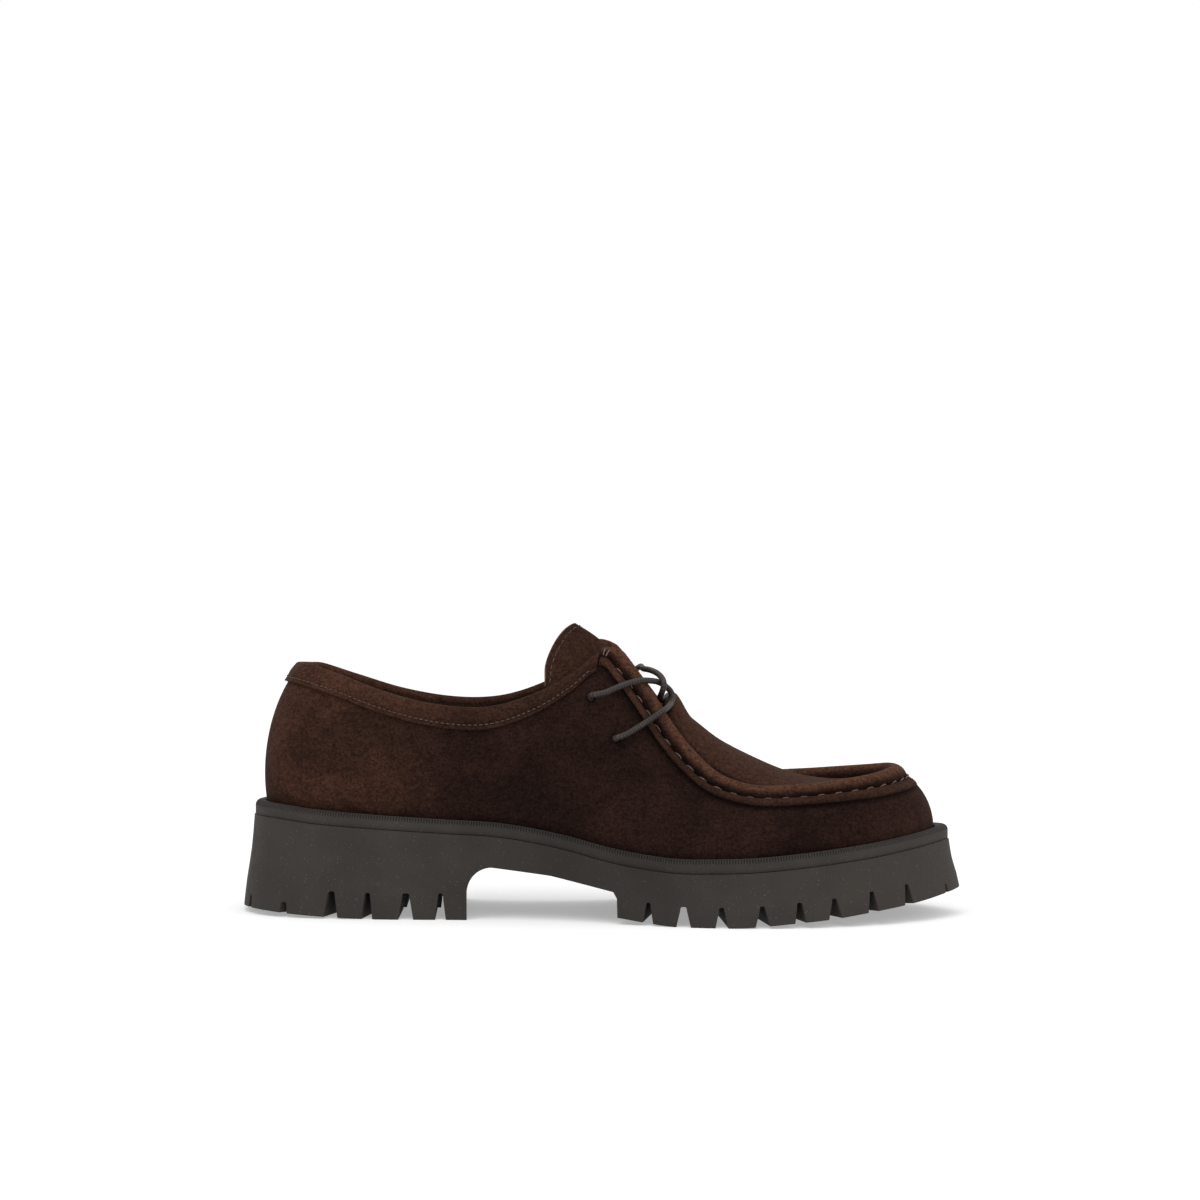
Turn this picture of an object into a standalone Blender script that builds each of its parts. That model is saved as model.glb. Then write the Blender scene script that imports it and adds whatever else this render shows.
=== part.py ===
"""A low moc toe shoe in suede on a lugged one-piece sole, for the right foot.

+X points to the toe, -Y to the outer side of the foot and +Z up. The origin is on
the floor, under the middle of the tread. Lengths are in metres. The tables of
sections hold shares of the named sizes, one row for each section.
"""

import math

import bmesh
import bpy
from mathutils import Vector

# Sole
SOLE_LENGTH = 0.278
TREAD_WIDTH = 0.105
HEEL_STACK = 0.0369
BALL_STACK = 0.0190
TOE_RISE = 0.0098
TREAD_SPRING = 0.0104
HEEL_BEVEL = 0.0024
SIDE_FLARE = 0.0040
TOP_BEVEL = 0.0006
HEEL_BREAST = 0.0930
BALL_BREAST = 0.1500
ARCH_HEIGHT = 0.0194
ARCH_FRONT_HEIGHT = 0.0117
BREAST_RADIUS = 0.0095
BREAST_SKEW_DEGREES = 8.0
HEEL_LUG_DEPTH = 0.0097
BALL_LUG_DEPTH = 0.0073
CHANNEL_WIDTH = 0.0060
CHANNEL_DEPTH = 0.0050

# Rand, the ribbed strip round the upper's foot
RAND_HEIGHT = 0.0050
RAND_SETBACK = 0.0004
RAND_ROUNDING = 0.0011

# Upper
THROAT_HEIGHT = 0.0790
WALL = 0.0020
APRON_ROLL_WIDTH = 0.0062
APRON_ROLL_HEIGHT = 0.0050
VAMP_ROLL_WIDTH = 0.0048
VAMP_ROLL_HEIGHT = 0.0019
TIP_FLATTENING = 0.8
TIP_LEAN = 0.42
EYELET_DIAMETER = 0.0040
RIM_ROUNDING = 0.10

# Collar binding, tongue, insole and lace
BINDING_WIDTH = 0.0072
BINDING_THICKNESS = 0.0012
TONGUE_THICKNESS = 0.0024
TONGUE_SLOPE_DEGREES = 26.0
TONGUE_BOW = 1.6
TONGUE_END_ROUNDING = 0.0026
INSOLE_THICKNESS = 0.0040
LACE_DIAMETER = 0.0023

# Clearances between pieces that touch
SEAM_GAP = 0.0003
SKIN_GAP = 0.0004

# How finely the lofts are cut
STEPS_PER_ROW = 2
SOLE_STEPS_PER_ROW = 3
APRON_STEPS = 8
BODY_STEPS = 7
LINING_STEPS = 6
LACE_SIDES_RESOLUTION = 1

HALF_WIDTH = TREAD_WIDTH / 2

# Outsole edge on the tread: shares of the sole's length and of its half width
TREAD_EDGE = [
    # along, outer, inner
    (0.004, 0.000, 0.000),
    (0.008, 0.160, 0.160),
    (0.020, 0.345, 0.345),
    (0.053, 0.543, 0.543),
    (0.115, 0.676, 0.676),
    (0.216, 0.698, 0.695),
    (0.342, 0.676, 0.657),
    (0.450, 0.724, 0.680),
    (0.558, 0.868, 0.832),
    (0.647, 0.975, 0.955),
    (0.730, 0.992, 1.008),
    (0.813, 0.905, 0.975),
    (0.888, 0.714, 0.838),
    (0.946, 0.457, 0.610),
    (0.980, 0.210, 0.380),
    (0.995, 0.050, 0.222),
    (1.000, -0.086, 0.086),
]

# Height of the outsole's top: shares of the heel's extra stack and of the toe's rise
SOLE_TOP = [
    # along, heel, toe
    (0.000, 1.040, 0.000),
    (0.065, 1.000, 0.000),
    (0.122, 0.905, 0.000),
    (0.200, 0.815, 0.000),
    (0.300, 0.720, 0.000),
    (0.378, 0.650, 0.000),
    (0.460, 0.440, 0.000),
    (0.532, 0.180, 0.000),
    (0.600, 0.030, 0.000),
    (0.650, 0.000, 0.010),
    (0.735, 0.000, 0.110),
    (0.870, 0.000, 0.520),
    (0.942, 0.000, 0.830),
    (1.000, 0.000, 1.080),
]

# Height of the tread: shares of the heel's bevel and of the toe spring
TREAD_RISE = [
    # along, bevel, spring
    (0.000, 1.000, 0.000),
    (0.045, 0.920, 0.000),
    (0.090, 0.620, 0.000),
    (0.125, 0.400, 0.000),
    (0.160, 0.180, 0.000),
    (0.200, 0.050, 0.000),
    (0.230, 0.000, 0.000),
    (0.345, 0.000, 0.000),
    (0.400, 0.000, 0.050),
    (0.530, 0.000, 0.260),
    (0.571, 0.000, 0.135),
    (0.600, 0.000, 0.045),
    (0.623, 0.000, 0.000),
    (0.692, 0.000, 0.000),
    (0.725, 0.000, 0.045),
    (0.778, 0.000, 0.173),
    (0.825, 0.000, 0.288),
    (0.876, 0.000, 0.470),
    (0.938, 0.000, 0.700),
    (1.000, 0.000, 1.000),
]

# Grooves between the lugs. The inner side's start is a share of its own. Widths are
# shares of the groove's depth, which is a share of the lug depth; the turns are the
# groove's lean from straight across, and the reach a share of the half width.
GROOVES = [
    # along outer, along inner, turn outer, turn inner, depth, foot, crown, reach
    (0.026, 0.026, 52, 52, 0.48, 0.60, 0.34, 0.36),
    (0.081, 0.078, 34, 34, 0.42, 0.80, 0.60, 0.40),
    (0.149, 0.137, 9, 0, 1.00, 0.64, 0.28, 0.72),
    (0.199, 0.181, 4, 3, 1.00, 0.49, 0.22, 0.72),
    (0.252, 0.226, -6, 7, 1.00, 0.67, 0.30, 0.72),
    (0.299, 0.270, -7, 8, 1.00, 0.49, 0.20, 0.72),
    (0.582, 0.582, 3, 3, 1.00, 0.65, 0.24, 0.92),
    (0.630, 0.630, -3, -3, 1.00, 0.88, 0.34, 0.98),
    (0.681, 0.681, -8, -8, 1.00, 0.80, 0.28, 1.02),
    (0.735, 0.735, -12, -12, 1.00, 0.94, 0.28, 1.02),
    (0.784, 0.784, -16, -16, 1.00, 0.64, 0.28, 0.98),
    (0.830, 0.830, -21, -21, 1.00, 0.90, 0.28, 0.86),
    (0.880, 0.880, -28, -28, 1.00, 0.70, 0.28, 0.62),
    (0.928, 0.928, -40, -40, 1.00, 0.70, 0.28, 0.44),
    (0.981, 0.981, -64, -64, 0.44, 0.80, 0.40, 0.24),
]

# The upper, row by row from the back of the heel to the tip of the toe. The seat is
# its foot on the outsole, the edge its collar and then its seam with the apron.
# Along is a share of the sole's length, across of its half width, up of the throat's
# height over the outsole. Belly and shoulder are how far the wall swells beyond its
# foot and its edge, as shares of the half width, and dip how far below the edge the
# shoulder lies, as a share of the wall's height. Crown is the apron's middle.
UPPER = [
    # seat: along outer inner | edge: along outer, along inner, outer, inner
    # up: outer inner | belly shoulder dip | crown
    (0.040, 0.000, 0.000, 0.080, 0.080, 0.000, 0.000, 0.730, 0.730, 0.090, 0.225, 0.25, 0.0),
    (0.047, 0.205, 0.205, 0.088, 0.088, 0.162, 0.162, 0.730, 0.730, 0.086, 0.205, 0.25, 0.0),
    (0.070, 0.372, 0.372, 0.106, 0.106, 0.295, 0.295, 0.732, 0.728, 0.076, 0.160, 0.27, 0.0),
    (0.123, 0.486, 0.486, 0.152, 0.152, 0.390, 0.390, 0.699, 0.686, 0.066, 0.125, 0.30, 0.0),
    (0.198, 0.533, 0.530, 0.216, 0.216, 0.467, 0.467, 0.635, 0.631, 0.061, 0.105, 0.30, 0.0),
    (0.281, 0.535, 0.526, 0.288, 0.288, 0.499, 0.499, 0.591, 0.605, 0.060, 0.095, 0.30, 0.0),
    (0.353, 0.524, 0.508, 0.360, 0.356, 0.507, 0.503, 0.594, 0.625, 0.061, 0.100, 0.30, 0.0),
    (0.410, 0.540, 0.515, 0.421, 0.413, 0.476, 0.469, 0.684, 0.712, 0.064, 0.150, 0.30, 0.0),
    (0.457, 0.580, 0.548, 0.471, 0.458, 0.395, 0.386, 0.812, 0.832, 0.066, 0.240, 0.28, 0.0),
    (0.496, 0.618, 0.580, 0.511, 0.494, 0.300, 0.300, 0.950, 0.972, 0.068, 0.290, 0.25, 0.0),
    (0.525, 0.660, 0.614, 0.537, 0.524, 0.352, 0.346, 0.892, 0.892, 0.066, 0.285, 0.26, 0.0),
    (0.558, 0.708, 0.668, 0.567, 0.556, 0.398, 0.391, 0.766, 0.766, 0.062, 0.272, 0.27, 0.0),
    (0.590, 0.752, 0.722, 0.595, 0.586, 0.448, 0.438, 0.628, 0.632, 0.056, 0.262, 0.28, 0.780),
    (0.626, 0.794, 0.782, 0.628, 0.622, 0.510, 0.501, 0.499, 0.508, 0.048, 0.250, 0.27, 0.697),
    (0.669, 0.826, 0.836, 0.665, 0.662, 0.577, 0.571, 0.394, 0.412, 0.041, 0.236, 0.25, 0.594),
    (0.730, 0.834, 0.860, 0.716, 0.716, 0.636, 0.644, 0.334, 0.358, 0.036, 0.215, 0.21, 0.496),
    (0.798, 0.765, 0.829, 0.774, 0.774, 0.640, 0.670, 0.318, 0.343, 0.033, 0.195, 0.18, 0.402),
    (0.862, 0.630, 0.733, 0.836, 0.836, 0.581, 0.638, 0.316, 0.334, 0.031, 0.178, 0.18, 0.342),
    (0.916, 0.425, 0.575, 0.887, 0.887, 0.438, 0.533, 0.318, 0.328, 0.030, 0.160, 0.20, 0.320),
    (0.952, 0.180, 0.350, 0.922, 0.922, 0.219, 0.333, 0.321, 0.325, 0.029, 0.148, 0.22, 0.318),
    (0.963, -0.076, 0.076, 0.935, 0.935, -0.057, 0.057, 0.322, 0.322, 0.029, 0.143, 0.22, 0.319),
]
THROAT_ROW = 9
TIP_ROW = 17.5
APRON_ROW = 12
LIFT_OF_BELLY = 0.33

# Profile of the apron's rolled edge: shares of the roll's width and height
APRON_ROLL = [(-0.03, 0.34), (0.10, 0.74), (0.34, 0.97), (0.62, 0.97), (0.88, 0.72), (1.00, 0.34), (1.00, 0.04)]
# Profile of the vamp's rolled edge: distance below the seam and height, as shares
VAMP_ROLL = [(1.00, 0.0), (0.80, 0.85), (0.45, 1.0), (0.14, 0.45)]

# Ridge of the tongue, from under the apron to its free end
TONGUE_RIDGE = [
    # along, up, half width, bow
    (0.665, 0.522, 0.270, 0.170),
    (0.630, 0.628, 0.290, 0.175),
    (0.595, 0.720, 0.310, 0.180),
    (0.568, 0.818, 0.325, 0.190),
    (0.540, 0.922, 0.340, 0.200),
    (0.504, 1.020, 0.352, 0.220),
    (0.469, 1.072, 0.360, 0.238),
]
TONGUE_STEPS = 12

# Eyelets: place between the upper's rows, and distance below the edge
EYELETS = [(8.85, 0.0176), (10.25, 0.0254)]

# Middle lines of the two halves of the lace, each from its top eyelet round the hook to the
# lower one: shares of the sole's length, of half its width and of the throat's height
LACE_OUTER = [
    # along, across, up
    (0.5002, -0.4252, 0.729),
    (0.4988, -0.4785, 0.744),
    (0.5006, -0.5147, 0.757),
    (0.5078, -0.5299, 0.769),
    (0.5190, -0.5147, 0.786),
    (0.5334, -0.4842, 0.818),
    (0.5493, -0.4518, 0.849),
    (0.5651, -0.4137, 0.870),
    (0.5778, -0.3490, 0.875),
    (0.5883, -0.2652, 0.871),
    (0.5970, -0.1890, 0.853),
    (0.6037, -0.1509, 0.829),
    (0.6066, -0.1623, 0.800),
    (0.6052, -0.2309, 0.774),
    (0.6018, -0.3909, 0.756),
    (0.5974, -0.4785, 0.742),
    (0.5907, -0.5090, 0.724),
    (0.5800, -0.5166, 0.694),
    (0.5668, -0.5452, 0.658),
    (0.5539, -0.5833, 0.623),
    (0.5437, -0.6156, 0.600),
    (0.5369, -0.6137, 0.589),
    (0.5340, -0.5890, 0.580),
    (0.5365, -0.5394, 0.570),
]
LACE_INNER = [
    # along, across, up
    (0.4869, 0.4129, 0.752),
    (0.4851, 0.4682, 0.766),
    (0.4869, 0.5025, 0.778),
    (0.4941, 0.5196, 0.790),
    (0.5106, 0.5082, 0.816),
    (0.5293, 0.4682, 0.852),
    (0.5452, 0.4148, 0.893),
    (0.5552, 0.3253, 0.920),
    (0.5596, 0.2072, 0.921),
    (0.5631, 0.0815, 0.918),
    (0.5729, -0.0328, 0.919),
    (0.5832, -0.1394, 0.913),
    (0.5910, -0.2194, 0.898),
    (0.5954, -0.2804, 0.877),
    (0.5959, -0.3033, 0.852),
    (0.5933, -0.2804, 0.823),
    (0.5899, -0.2156, 0.797),
    (0.5906, -0.1356, 0.783),
    (0.5946, -0.0556, 0.789),
    (0.5991, 0.0358, 0.805),
    (0.6027, 0.1310, 0.797),
    (0.6006, 0.2339, 0.781),
    (0.5955, 0.3367, 0.774),
    (0.5869, 0.4244, 0.750),
    (0.5725, 0.4967, 0.701),
    (0.5552, 0.5577, 0.644),
    (0.5401, 0.6034, 0.606),
    (0.5304, 0.6072, 0.590),
    (0.5250, 0.5806, 0.577),
    (0.5268, 0.5310, 0.568),
]


def reset():
    """Starts from an empty scene."""
    for thing in list(bpy.data.objects):
        bpy.data.objects.remove(thing)


def between(table, column, along):
    """A smooth value read from a table whose first column rises."""
    rows = table
    last = len(rows) - 1
    k = 0
    while k < last - 1 and along > rows[k + 1][0]:
        k += 1

    def slope(i):
        low, high = max(i - 1, 0), min(i + 1, last)
        before = rows[i][column] - rows[low][column]
        after = rows[high][column] - rows[i][column]
        if before * after <= 0.0 and 0 < i < last:
            return 0.0
        return (before + after) / (rows[high][0] - rows[low][0])

    step = rows[k + 1][0] - rows[k][0]
    t = min(max((along - rows[k][0]) / step, 0.0), 1.0)
    a, b = rows[k][column], rows[k + 1][column]
    return (
        a * (1 + 2 * t) * (1 - t) ** 2
        + b * t * t * (3 - 2 * t)
        + step * slope(k) * t * (1 - t) ** 2
        - step * slope(k + 1) * t * t * (1 - t)
    )


def sole_top(x):
    """Height of the outsole's top at x from the back of the heel."""
    along = x / SOLE_LENGTH
    heel = (HEEL_STACK - BALL_STACK) * between(SOLE_TOP, 1, along)
    return BALL_STACK + heel + TOE_RISE * between(SOLE_TOP, 2, along)


def tread_height(x):
    """Height of the lugs' feet over the floor."""
    along = x / SOLE_LENGTH
    rise = HEEL_BEVEL * between(TREAD_RISE, 1, along) + TREAD_SPRING * between(TREAD_RISE, 2, along)
    return max(rise, 0.0)


def spline(controls, place):
    """A point of the closed smooth curve through the controls, place counted in controls."""
    count = len(controls)
    k = math.floor(place)
    t = place - k
    p0, p1, p2, p3 = (Vector(controls[(k + i) % count]) for i in (-1, 0, 1, 2))
    return 0.5 * (
        2 * p1
        + (p2 - p0) * t
        + (2 * p0 - 5 * p1 + 4 * p2 - p3) * t * t
        + (3 * p1 - p0 - 3 * p2 + p3) * t**3
    )


def loop_of(rows, outer, inner):
    """Controls round the shoe: heel, outer side, toe, inner side. Each row gives one on each side."""
    return [outer(r) for r in rows] + [inner(r) for r in reversed(rows[1:-1])]


def ring(controls, steps):
    """Points of the closed curve, the same number between each two controls."""
    return [spline(controls, i / steps) for i in range(len(controls) * steps)]


def outward(points, i):
    """Level unit vector that points out of a ring seen from above."""
    count = len(points)
    run = points[(i + 1) % count] - points[i - 1]
    return Vector((run.y, -run.x, 0)).normalized()


def tread_ring(steps):
    """The tread's edge in plan."""
    controls = loop_of(
        TREAD_EDGE,
        lambda r: (r[0] * SOLE_LENGTH, -r[1] * HALF_WIDTH, 0),
        lambda r: (r[0] * SOLE_LENGTH, r[2] * HALF_WIDTH, 0),
    )
    return ring(controls, steps)


def middle_of_tread():
    """Plan position of the middle of the tread's box, which is the shoe's origin."""
    points = tread_ring(SOLE_STEPS_PER_ROW)
    low = Vector((min(p.x for p in points), min(p.y for p in points), 0))
    high = Vector((max(p.x for p in points), max(p.y for p in points), 0))
    return (low + high) / 2


ORIGIN = middle_of_tread()


def material(name, colour, roughness):
    """A plain Principled material."""
    made = bpy.data.materials.new(name)
    made.use_nodes = True
    shader = made.node_tree.nodes["Principled BSDF"]
    shader.inputs["Base Color"].default_value = (*colour, 1)
    shader.inputs["Roughness"].default_value = roughness
    shader.inputs["Metallic"].default_value = 0.0
    return made


def collection(name):
    """A new collection in the scene."""
    made = bpy.data.collections.new(name)
    bpy.context.scene.collection.children.link(made)
    return made


def mesh_object(name, points, faces, group, finish=None):
    """An object from points in the shoe's own frame, moved to the origin."""
    mesh = bpy.data.meshes.new(name)
    mesh.from_pydata([tuple(p - ORIGIN) for p in points], [], faces)
    bm = bmesh.new()
    bm.from_mesh(mesh)
    bmesh.ops.recalc_face_normals(bm, faces=bm.faces)
    bm.to_mesh(mesh)
    bm.free()
    made = bpy.data.objects.new(name, mesh)
    group.objects.link(made)
    if finish:
        mesh.materials.append(finish)
        mesh.shade_smooth()
        mesh.set_sharp_from_angle(angle=math.radians(40))
    return made


def as_cutter(made):
    """Marks a helper that only cuts."""
    made.hide_render = True
    made.display_type = "WIRE"
    return made


class Loft:
    """Collects points and quads of one solid."""

    def __init__(self):
        self.points = []
        self.faces = []

    def row(self, points):
        """Adds points and returns their numbers."""
        first = len(self.points)
        self.points += [Vector(p) for p in points]
        return list(range(first, first + len(points)))

    def band(self, low, high, closed=True):
        """Quads between two rows of equal length."""
        count = len(low)
        for i in range(count if closed else count - 1):
            j = (i + 1) % count
            self.quad(low[i], low[j], high[j], high[i])

    def quad(self, a, b, c, d):
        """One face, with repeated corners left out."""
        corners = [p for n, p in enumerate((a, b, c, d)) if p not in (a, b, c, d)[:n]]
        if len(corners) > 2:
            self.faces.append(corners)

    def ladder(self, loop):
        """Closes a ring with rungs from its outer to its inner side."""
        half = len(loop) // 2
        for k in range(half):
            self.quad(loop[k], loop[k + 1], loop[-k - 1], loop[-k] if k else loop[0])


def outsole(group, cutters, finish):
    """The one-piece sole: flared sides, arch, breasts and lugs."""
    edge = tread_ring(SOLE_STEPS_PER_ROW)
    levels = [(0.0, 0.0), (0.30, 0.30), (0.62, 0.72), (1.0, 1.0)]
    made = Loft()
    loops = []
    for share, inset in levels:
        loop = []
        for i, p in enumerate(edge):
            q = p - outward(edge, i) * SIDE_FLARE * inset
            low, high = tread_height(q.x), sole_top(q.x) - TOP_BEVEL
            loop.append(Vector((q.x, q.y, low + (high - low) * share)))
        loops.append(made.row(loop))
    rim = []
    for i, p in enumerate(edge):
        q = p - outward(edge, i) * (SIDE_FLARE + TOP_BEVEL)
        rim.append(Vector((q.x, q.y, sole_top(q.x))))
    loops.append(made.row(rim))
    for low, high in zip(loops, loops[1:]):
        made.band(low, high)
    made.ladder(loops[0])
    made.ladder(loops[-1])
    sole = mesh_object("outsole", made.points, made.faces, group, finish)
    arch_cutter(cutters)
    groove_cutters(cutters, edge)
    channel_cutters(cutters, edge)
    cut = sole.modifiers.new("lugs and arch", "BOOLEAN")
    cut.operation = "DIFFERENCE"
    cut.operand_type = "COLLECTION"
    cut.collection = cutters
    cut.solver = "EXACT"
    return sole


def arch_cutter(cutters):
    """The space under the waist, as a side outline pushed through the sole. The heel's breast is askew."""
    outline = [(Vector((HEEL_BREAST, 0, -ARCH_HEIGHT)), 1.0)]
    corner = Vector((HEEL_BREAST + BREAST_RADIUS, 0, ARCH_HEIGHT - BREAST_RADIUS))
    for degrees in range(0, 91, 15):
        turn = math.radians(degrees)
        outline.append((corner + BREAST_RADIUS * Vector((-math.cos(turn), 0, math.sin(turn))), 1.0))
    front = BREAST_RADIUS * 0.15
    outline.append((Vector((BALL_BREAST - front, 0, ARCH_FRONT_HEIGHT)), 0.0))
    outline.append((Vector((BALL_BREAST, 0, ARCH_FRONT_HEIGHT * 0.8)), 0.0))
    outline.append((Vector((BALL_BREAST + front, 0, -ARCH_HEIGHT)), 0.0))
    outer_side = HALF_WIDTH * TREAD_EDGE[6][1]
    skew = math.tan(math.radians(BREAST_SKEW_DEGREES))
    made = Loft()
    sides = []
    for y in (-TREAD_WIDTH, TREAD_WIDTH):
        shift = -(y + outer_side) * skew
        sides.append(made.row([p + Vector((shift * share, y, 0)) for p, share in outline]))
    made.band(*sides)
    made.faces += sides
    as_cutter(mesh_object("arch_cutter", made.points, made.faces, cutters))


def edge_point(edge, x, side):
    """Point of the tread's edge at x; side is -1 outer, 1 inner."""
    half = len(edge) // 2
    chain = edge[: half + 1] if side < 0 else [edge[0]] + edge[: half - 1 : -1]
    for a, b in zip(chain, chain[1:]):
        if a.x <= x <= b.x:
            return a.lerp(b, (x - a.x) / (b.x - a.x))
    return chain[-1]


def groove_cutters(cutters, edge):
    """The tapered grooves between the lugs, on both sides."""
    for number, (outer, inner, outer_turn, inner_turn, share, foot, crown, reach) in enumerate(GROOVES):
        for side, along, turn in ((-1, outer, outer_turn), (1, inner, inner_turn)):
            x = along * SOLE_LENGTH
            depth = share * (HEEL_LUG_DEPTH if x < HEEL_BREAST else BALL_LUG_DEPTH)
            start = edge_point(edge, x, side)
            turned = math.radians(turn)
            inward = Vector((math.sin(turned), -side * math.cos(turned), 0))
            across = Vector((math.cos(turned), side * math.sin(turned), 0))
            base = tread_height(x)
            made = Loft()
            loops = []
            for run in (-0.5, 1.0):
                middle = start + inward * reach * HALF_WIDTH * run
                loops.append(made.row([
                    middle + across * width * depth / 2 + Vector((0, 0, base + height))
                    for width, height in (
                        (-foot * 1.4, -depth),
                        (-crown, depth * 0.86),
                        (-crown * 0.6, depth),
                        (crown * 0.6, depth),
                        (crown, depth * 0.86),
                        (foot * 1.4, -depth),
                    )
                ]))
            made.band(*loops)
            made.faces += loops
            name = f"groove_cutter_{number}_{'outer' if side < 0 else 'inner'}"
            as_cutter(mesh_object(name, made.points, made.faces, cutters))


def channel_cutters(cutters, edge):
    """The two lengthwise channels of the tread, under the heel and under the ball."""
    spans = {"heel": (0.150, 0.360), "ball": (0.520, 0.890)}
    for name, (first, last) in spans.items():
        made = Loft()
        loops = []
        steps = 8
        for k in range(steps + 1):
            x = SOLE_LENGTH * (first + (last - first) * k / steps)
            low, high = edge_point(edge, x, -1), edge_point(edge, x, 1)
            middle = (low + high) / 2
            base = tread_height(x)
            loops.append(made.row([
                middle + Vector((0, side * CHANNEL_WIDTH / 2, base + height))
                for side, height in (
                    (-1.3, -CHANNEL_DEPTH),
                    (-0.7, CHANNEL_DEPTH),
                    (0.7, CHANNEL_DEPTH),
                    (1.3, -CHANNEL_DEPTH),
                )
            ]))
        for low, high in zip(loops, loops[1:]):
            made.band(low, high)
        made.faces += [loops[0], loops[-1]]
        as_cutter(mesh_object(f"channel_cutter_{name}", made.points, made.faces, cutters))


def upper_controls():
    """The upper's table as controls round the shoe: seat, edge, swell and crown in one vector each."""

    def control(row, side):
        outer = side < 0
        return (
            row[0] * SOLE_LENGTH,
            side * (row[1] if outer else row[2]) * HALF_WIDTH,
            (row[3] if outer else row[4]) * SOLE_LENGTH,
            side * (row[5] if outer else row[6]) * HALF_WIDTH,
            (row[7] if outer else row[8]) * THROAT_HEIGHT,
            row[9] * HALF_WIDTH,
            row[10] * HALF_WIDTH,
            row[11],
            row[12] * THROAT_HEIGHT,
        )

    return loop_of(UPPER, lambda r: control(r, -1), lambda r: control(r, 1))


UPPER_LOOP = upper_controls()


class Section:
    """The upper's wall at one place round the shoe, place counted in table rows."""

    def __init__(self, place):
        values = spline(UPPER_LOOP, place)
        before, after = spline(UPPER_LOOP, place - 0.5), spline(UPPER_LOOP, place + 0.5)
        self.seat = Vector((values[0], values[1], sole_top(values[0]) + SEAM_GAP))
        self.edge = Vector((values[2], values[3], sole_top(values[2]) + values[4]))
        self.crown = sole_top(values[2]) + values[8]
        run = Vector((after[0] - before[0], after[1] - before[1], 0))
        self.out = Vector((run.y, -run.x, 0)).normalized()
        edge_run = Vector((
            after[2] - before[2],
            after[3] - before[3],
            sole_top(after[2]) + after[4] - sole_top(before[2]) - before[4],
        )).normalized()
        self.along = edge_run
        self.rise = (Vector((0, 0, 1)) - edge_run * edge_run.z).normalized()
        self.inward = self.rise.cross(edge_run)
        height = self.edge.z - self.seat.z
        belly = self.seat + self.out * values[5] + Vector((0, 0, height * LIFT_OF_BELLY))
        shoulder = self.edge + self.out * values[6] - Vector((0, 0, height * values[7]))
        self.controls = (self.seat, belly, shoulder, self.edge)
        samples = [self.at(i / 32) for i in range(33)]
        self.lengths = [0.0]
        for a, b in zip(samples, samples[1:]):
            self.lengths.append(self.lengths[-1] + (b - a).length)
        rows_past = min(place, len(UPPER_LOOP) - place) - THROAT_ROW
        self.roll = min(0.7 + 0.6 * rows_past, 1.0) if rows_past >= 0 else 0.0
        wall_rise = (shoulder - self.edge).normalized() * -1
        wall_inward = -self.normal_below(0.0)
        self.rise = wall_rise.lerp(self.rise, self.roll).normalized()
        self.inward = wall_inward.lerp(self.inward, self.roll).normalized()
        halfway = len(UPPER_LOOP) / 2
        past = max(min(place, len(UPPER_LOOP) - place) - TIP_ROW, 0.0) / (halfway - TIP_ROW)
        self.tip = past * past * (3 - 2 * past)
        self.rise = (self.rise + self.inward * TIP_LEAN * self.tip).normalized()

    def at(self, t):
        """Point of the wall's outer curve, t from 0 at the seat to 1 at the edge."""
        a, b, c, d = self.controls
        s = 1 - t
        return a * s**3 + b * 3 * s * s * t + c * 3 * s * t * t + d * t**3

    @property
    def length(self):
        return self.lengths[-1]

    def share_at(self, distance):
        """t at a distance from the seat, measured along the wall."""
        distance = min(max(distance, 0.0), self.length)
        for k, (a, b) in enumerate(zip(self.lengths, self.lengths[1:])):
            if distance <= b:
                return (k + (distance - a) / (b - a)) / 32
        return 1.0

    def up(self, distance):
        """Point of the wall at a distance from the seat."""
        return self.at(self.share_at(distance))

    def down(self, distance):
        """Point of the wall at a distance below the edge."""
        return self.up(self.length - distance)

    def normal(self, distance):
        """Unit vector out of the wall at a distance from the seat."""
        t = self.share_at(distance)
        climb = self.at(min(t + 0.02, 1.0)) - self.at(max(t - 0.02, 0.0))
        level = Vector((-self.out.y, self.out.x, 0))
        return level.cross(climb).normalized()

    def normal_below(self, distance):
        """Unit vector out of the wall at a distance below the edge."""
        return self.normal(self.length - distance)


SECTIONS = [Section(i / STEPS_PER_ROW) for i in range(len(UPPER_LOOP) * STEPS_PER_ROW)]
COLUMNS = len(SECTIONS)
TOE_COLUMN = COLUMNS // 2
THROAT_COLUMN = THROAT_ROW * STEPS_PER_ROW
APRON_COLUMN = APRON_ROW * STEPS_PER_ROW


def outer_rows():
    """Rings of the upper's outer face, from its foot over the two rolls of the seam."""
    rings = []
    for k in range(BODY_STEPS):
        rings.append([s.up((s.length - VAMP_ROLL_WIDTH) * k / BODY_STEPS) for s in SECTIONS])
    for distance, height in VAMP_ROLL:
        loop = []
        for s in SECTIONS:
            below = distance * VAMP_ROLL_WIDTH
            swell = height * VAMP_ROLL_HEIGHT * s.roll * (1 - TIP_FLATTENING * s.tip)
            loop.append(s.down(below) + s.normal_below(below) * swell)
        rings.append(loop)
    rings.append([s.edge for s in SECTIONS])
    for across, height in APRON_ROLL:
        loop = []
        for s in SECTIONS:
            width = WALL + (APRON_ROLL_WIDTH - WALL) * s.roll
            tall = WALL * RIM_ROUNDING + (APRON_ROLL_HEIGHT - WALL * RIM_ROUNDING) * s.roll
            loop.append(s.edge + s.inward * width * max(across, 0.0) + s.rise * tall * height)
        rings.append(loop)
    return rings


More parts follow.
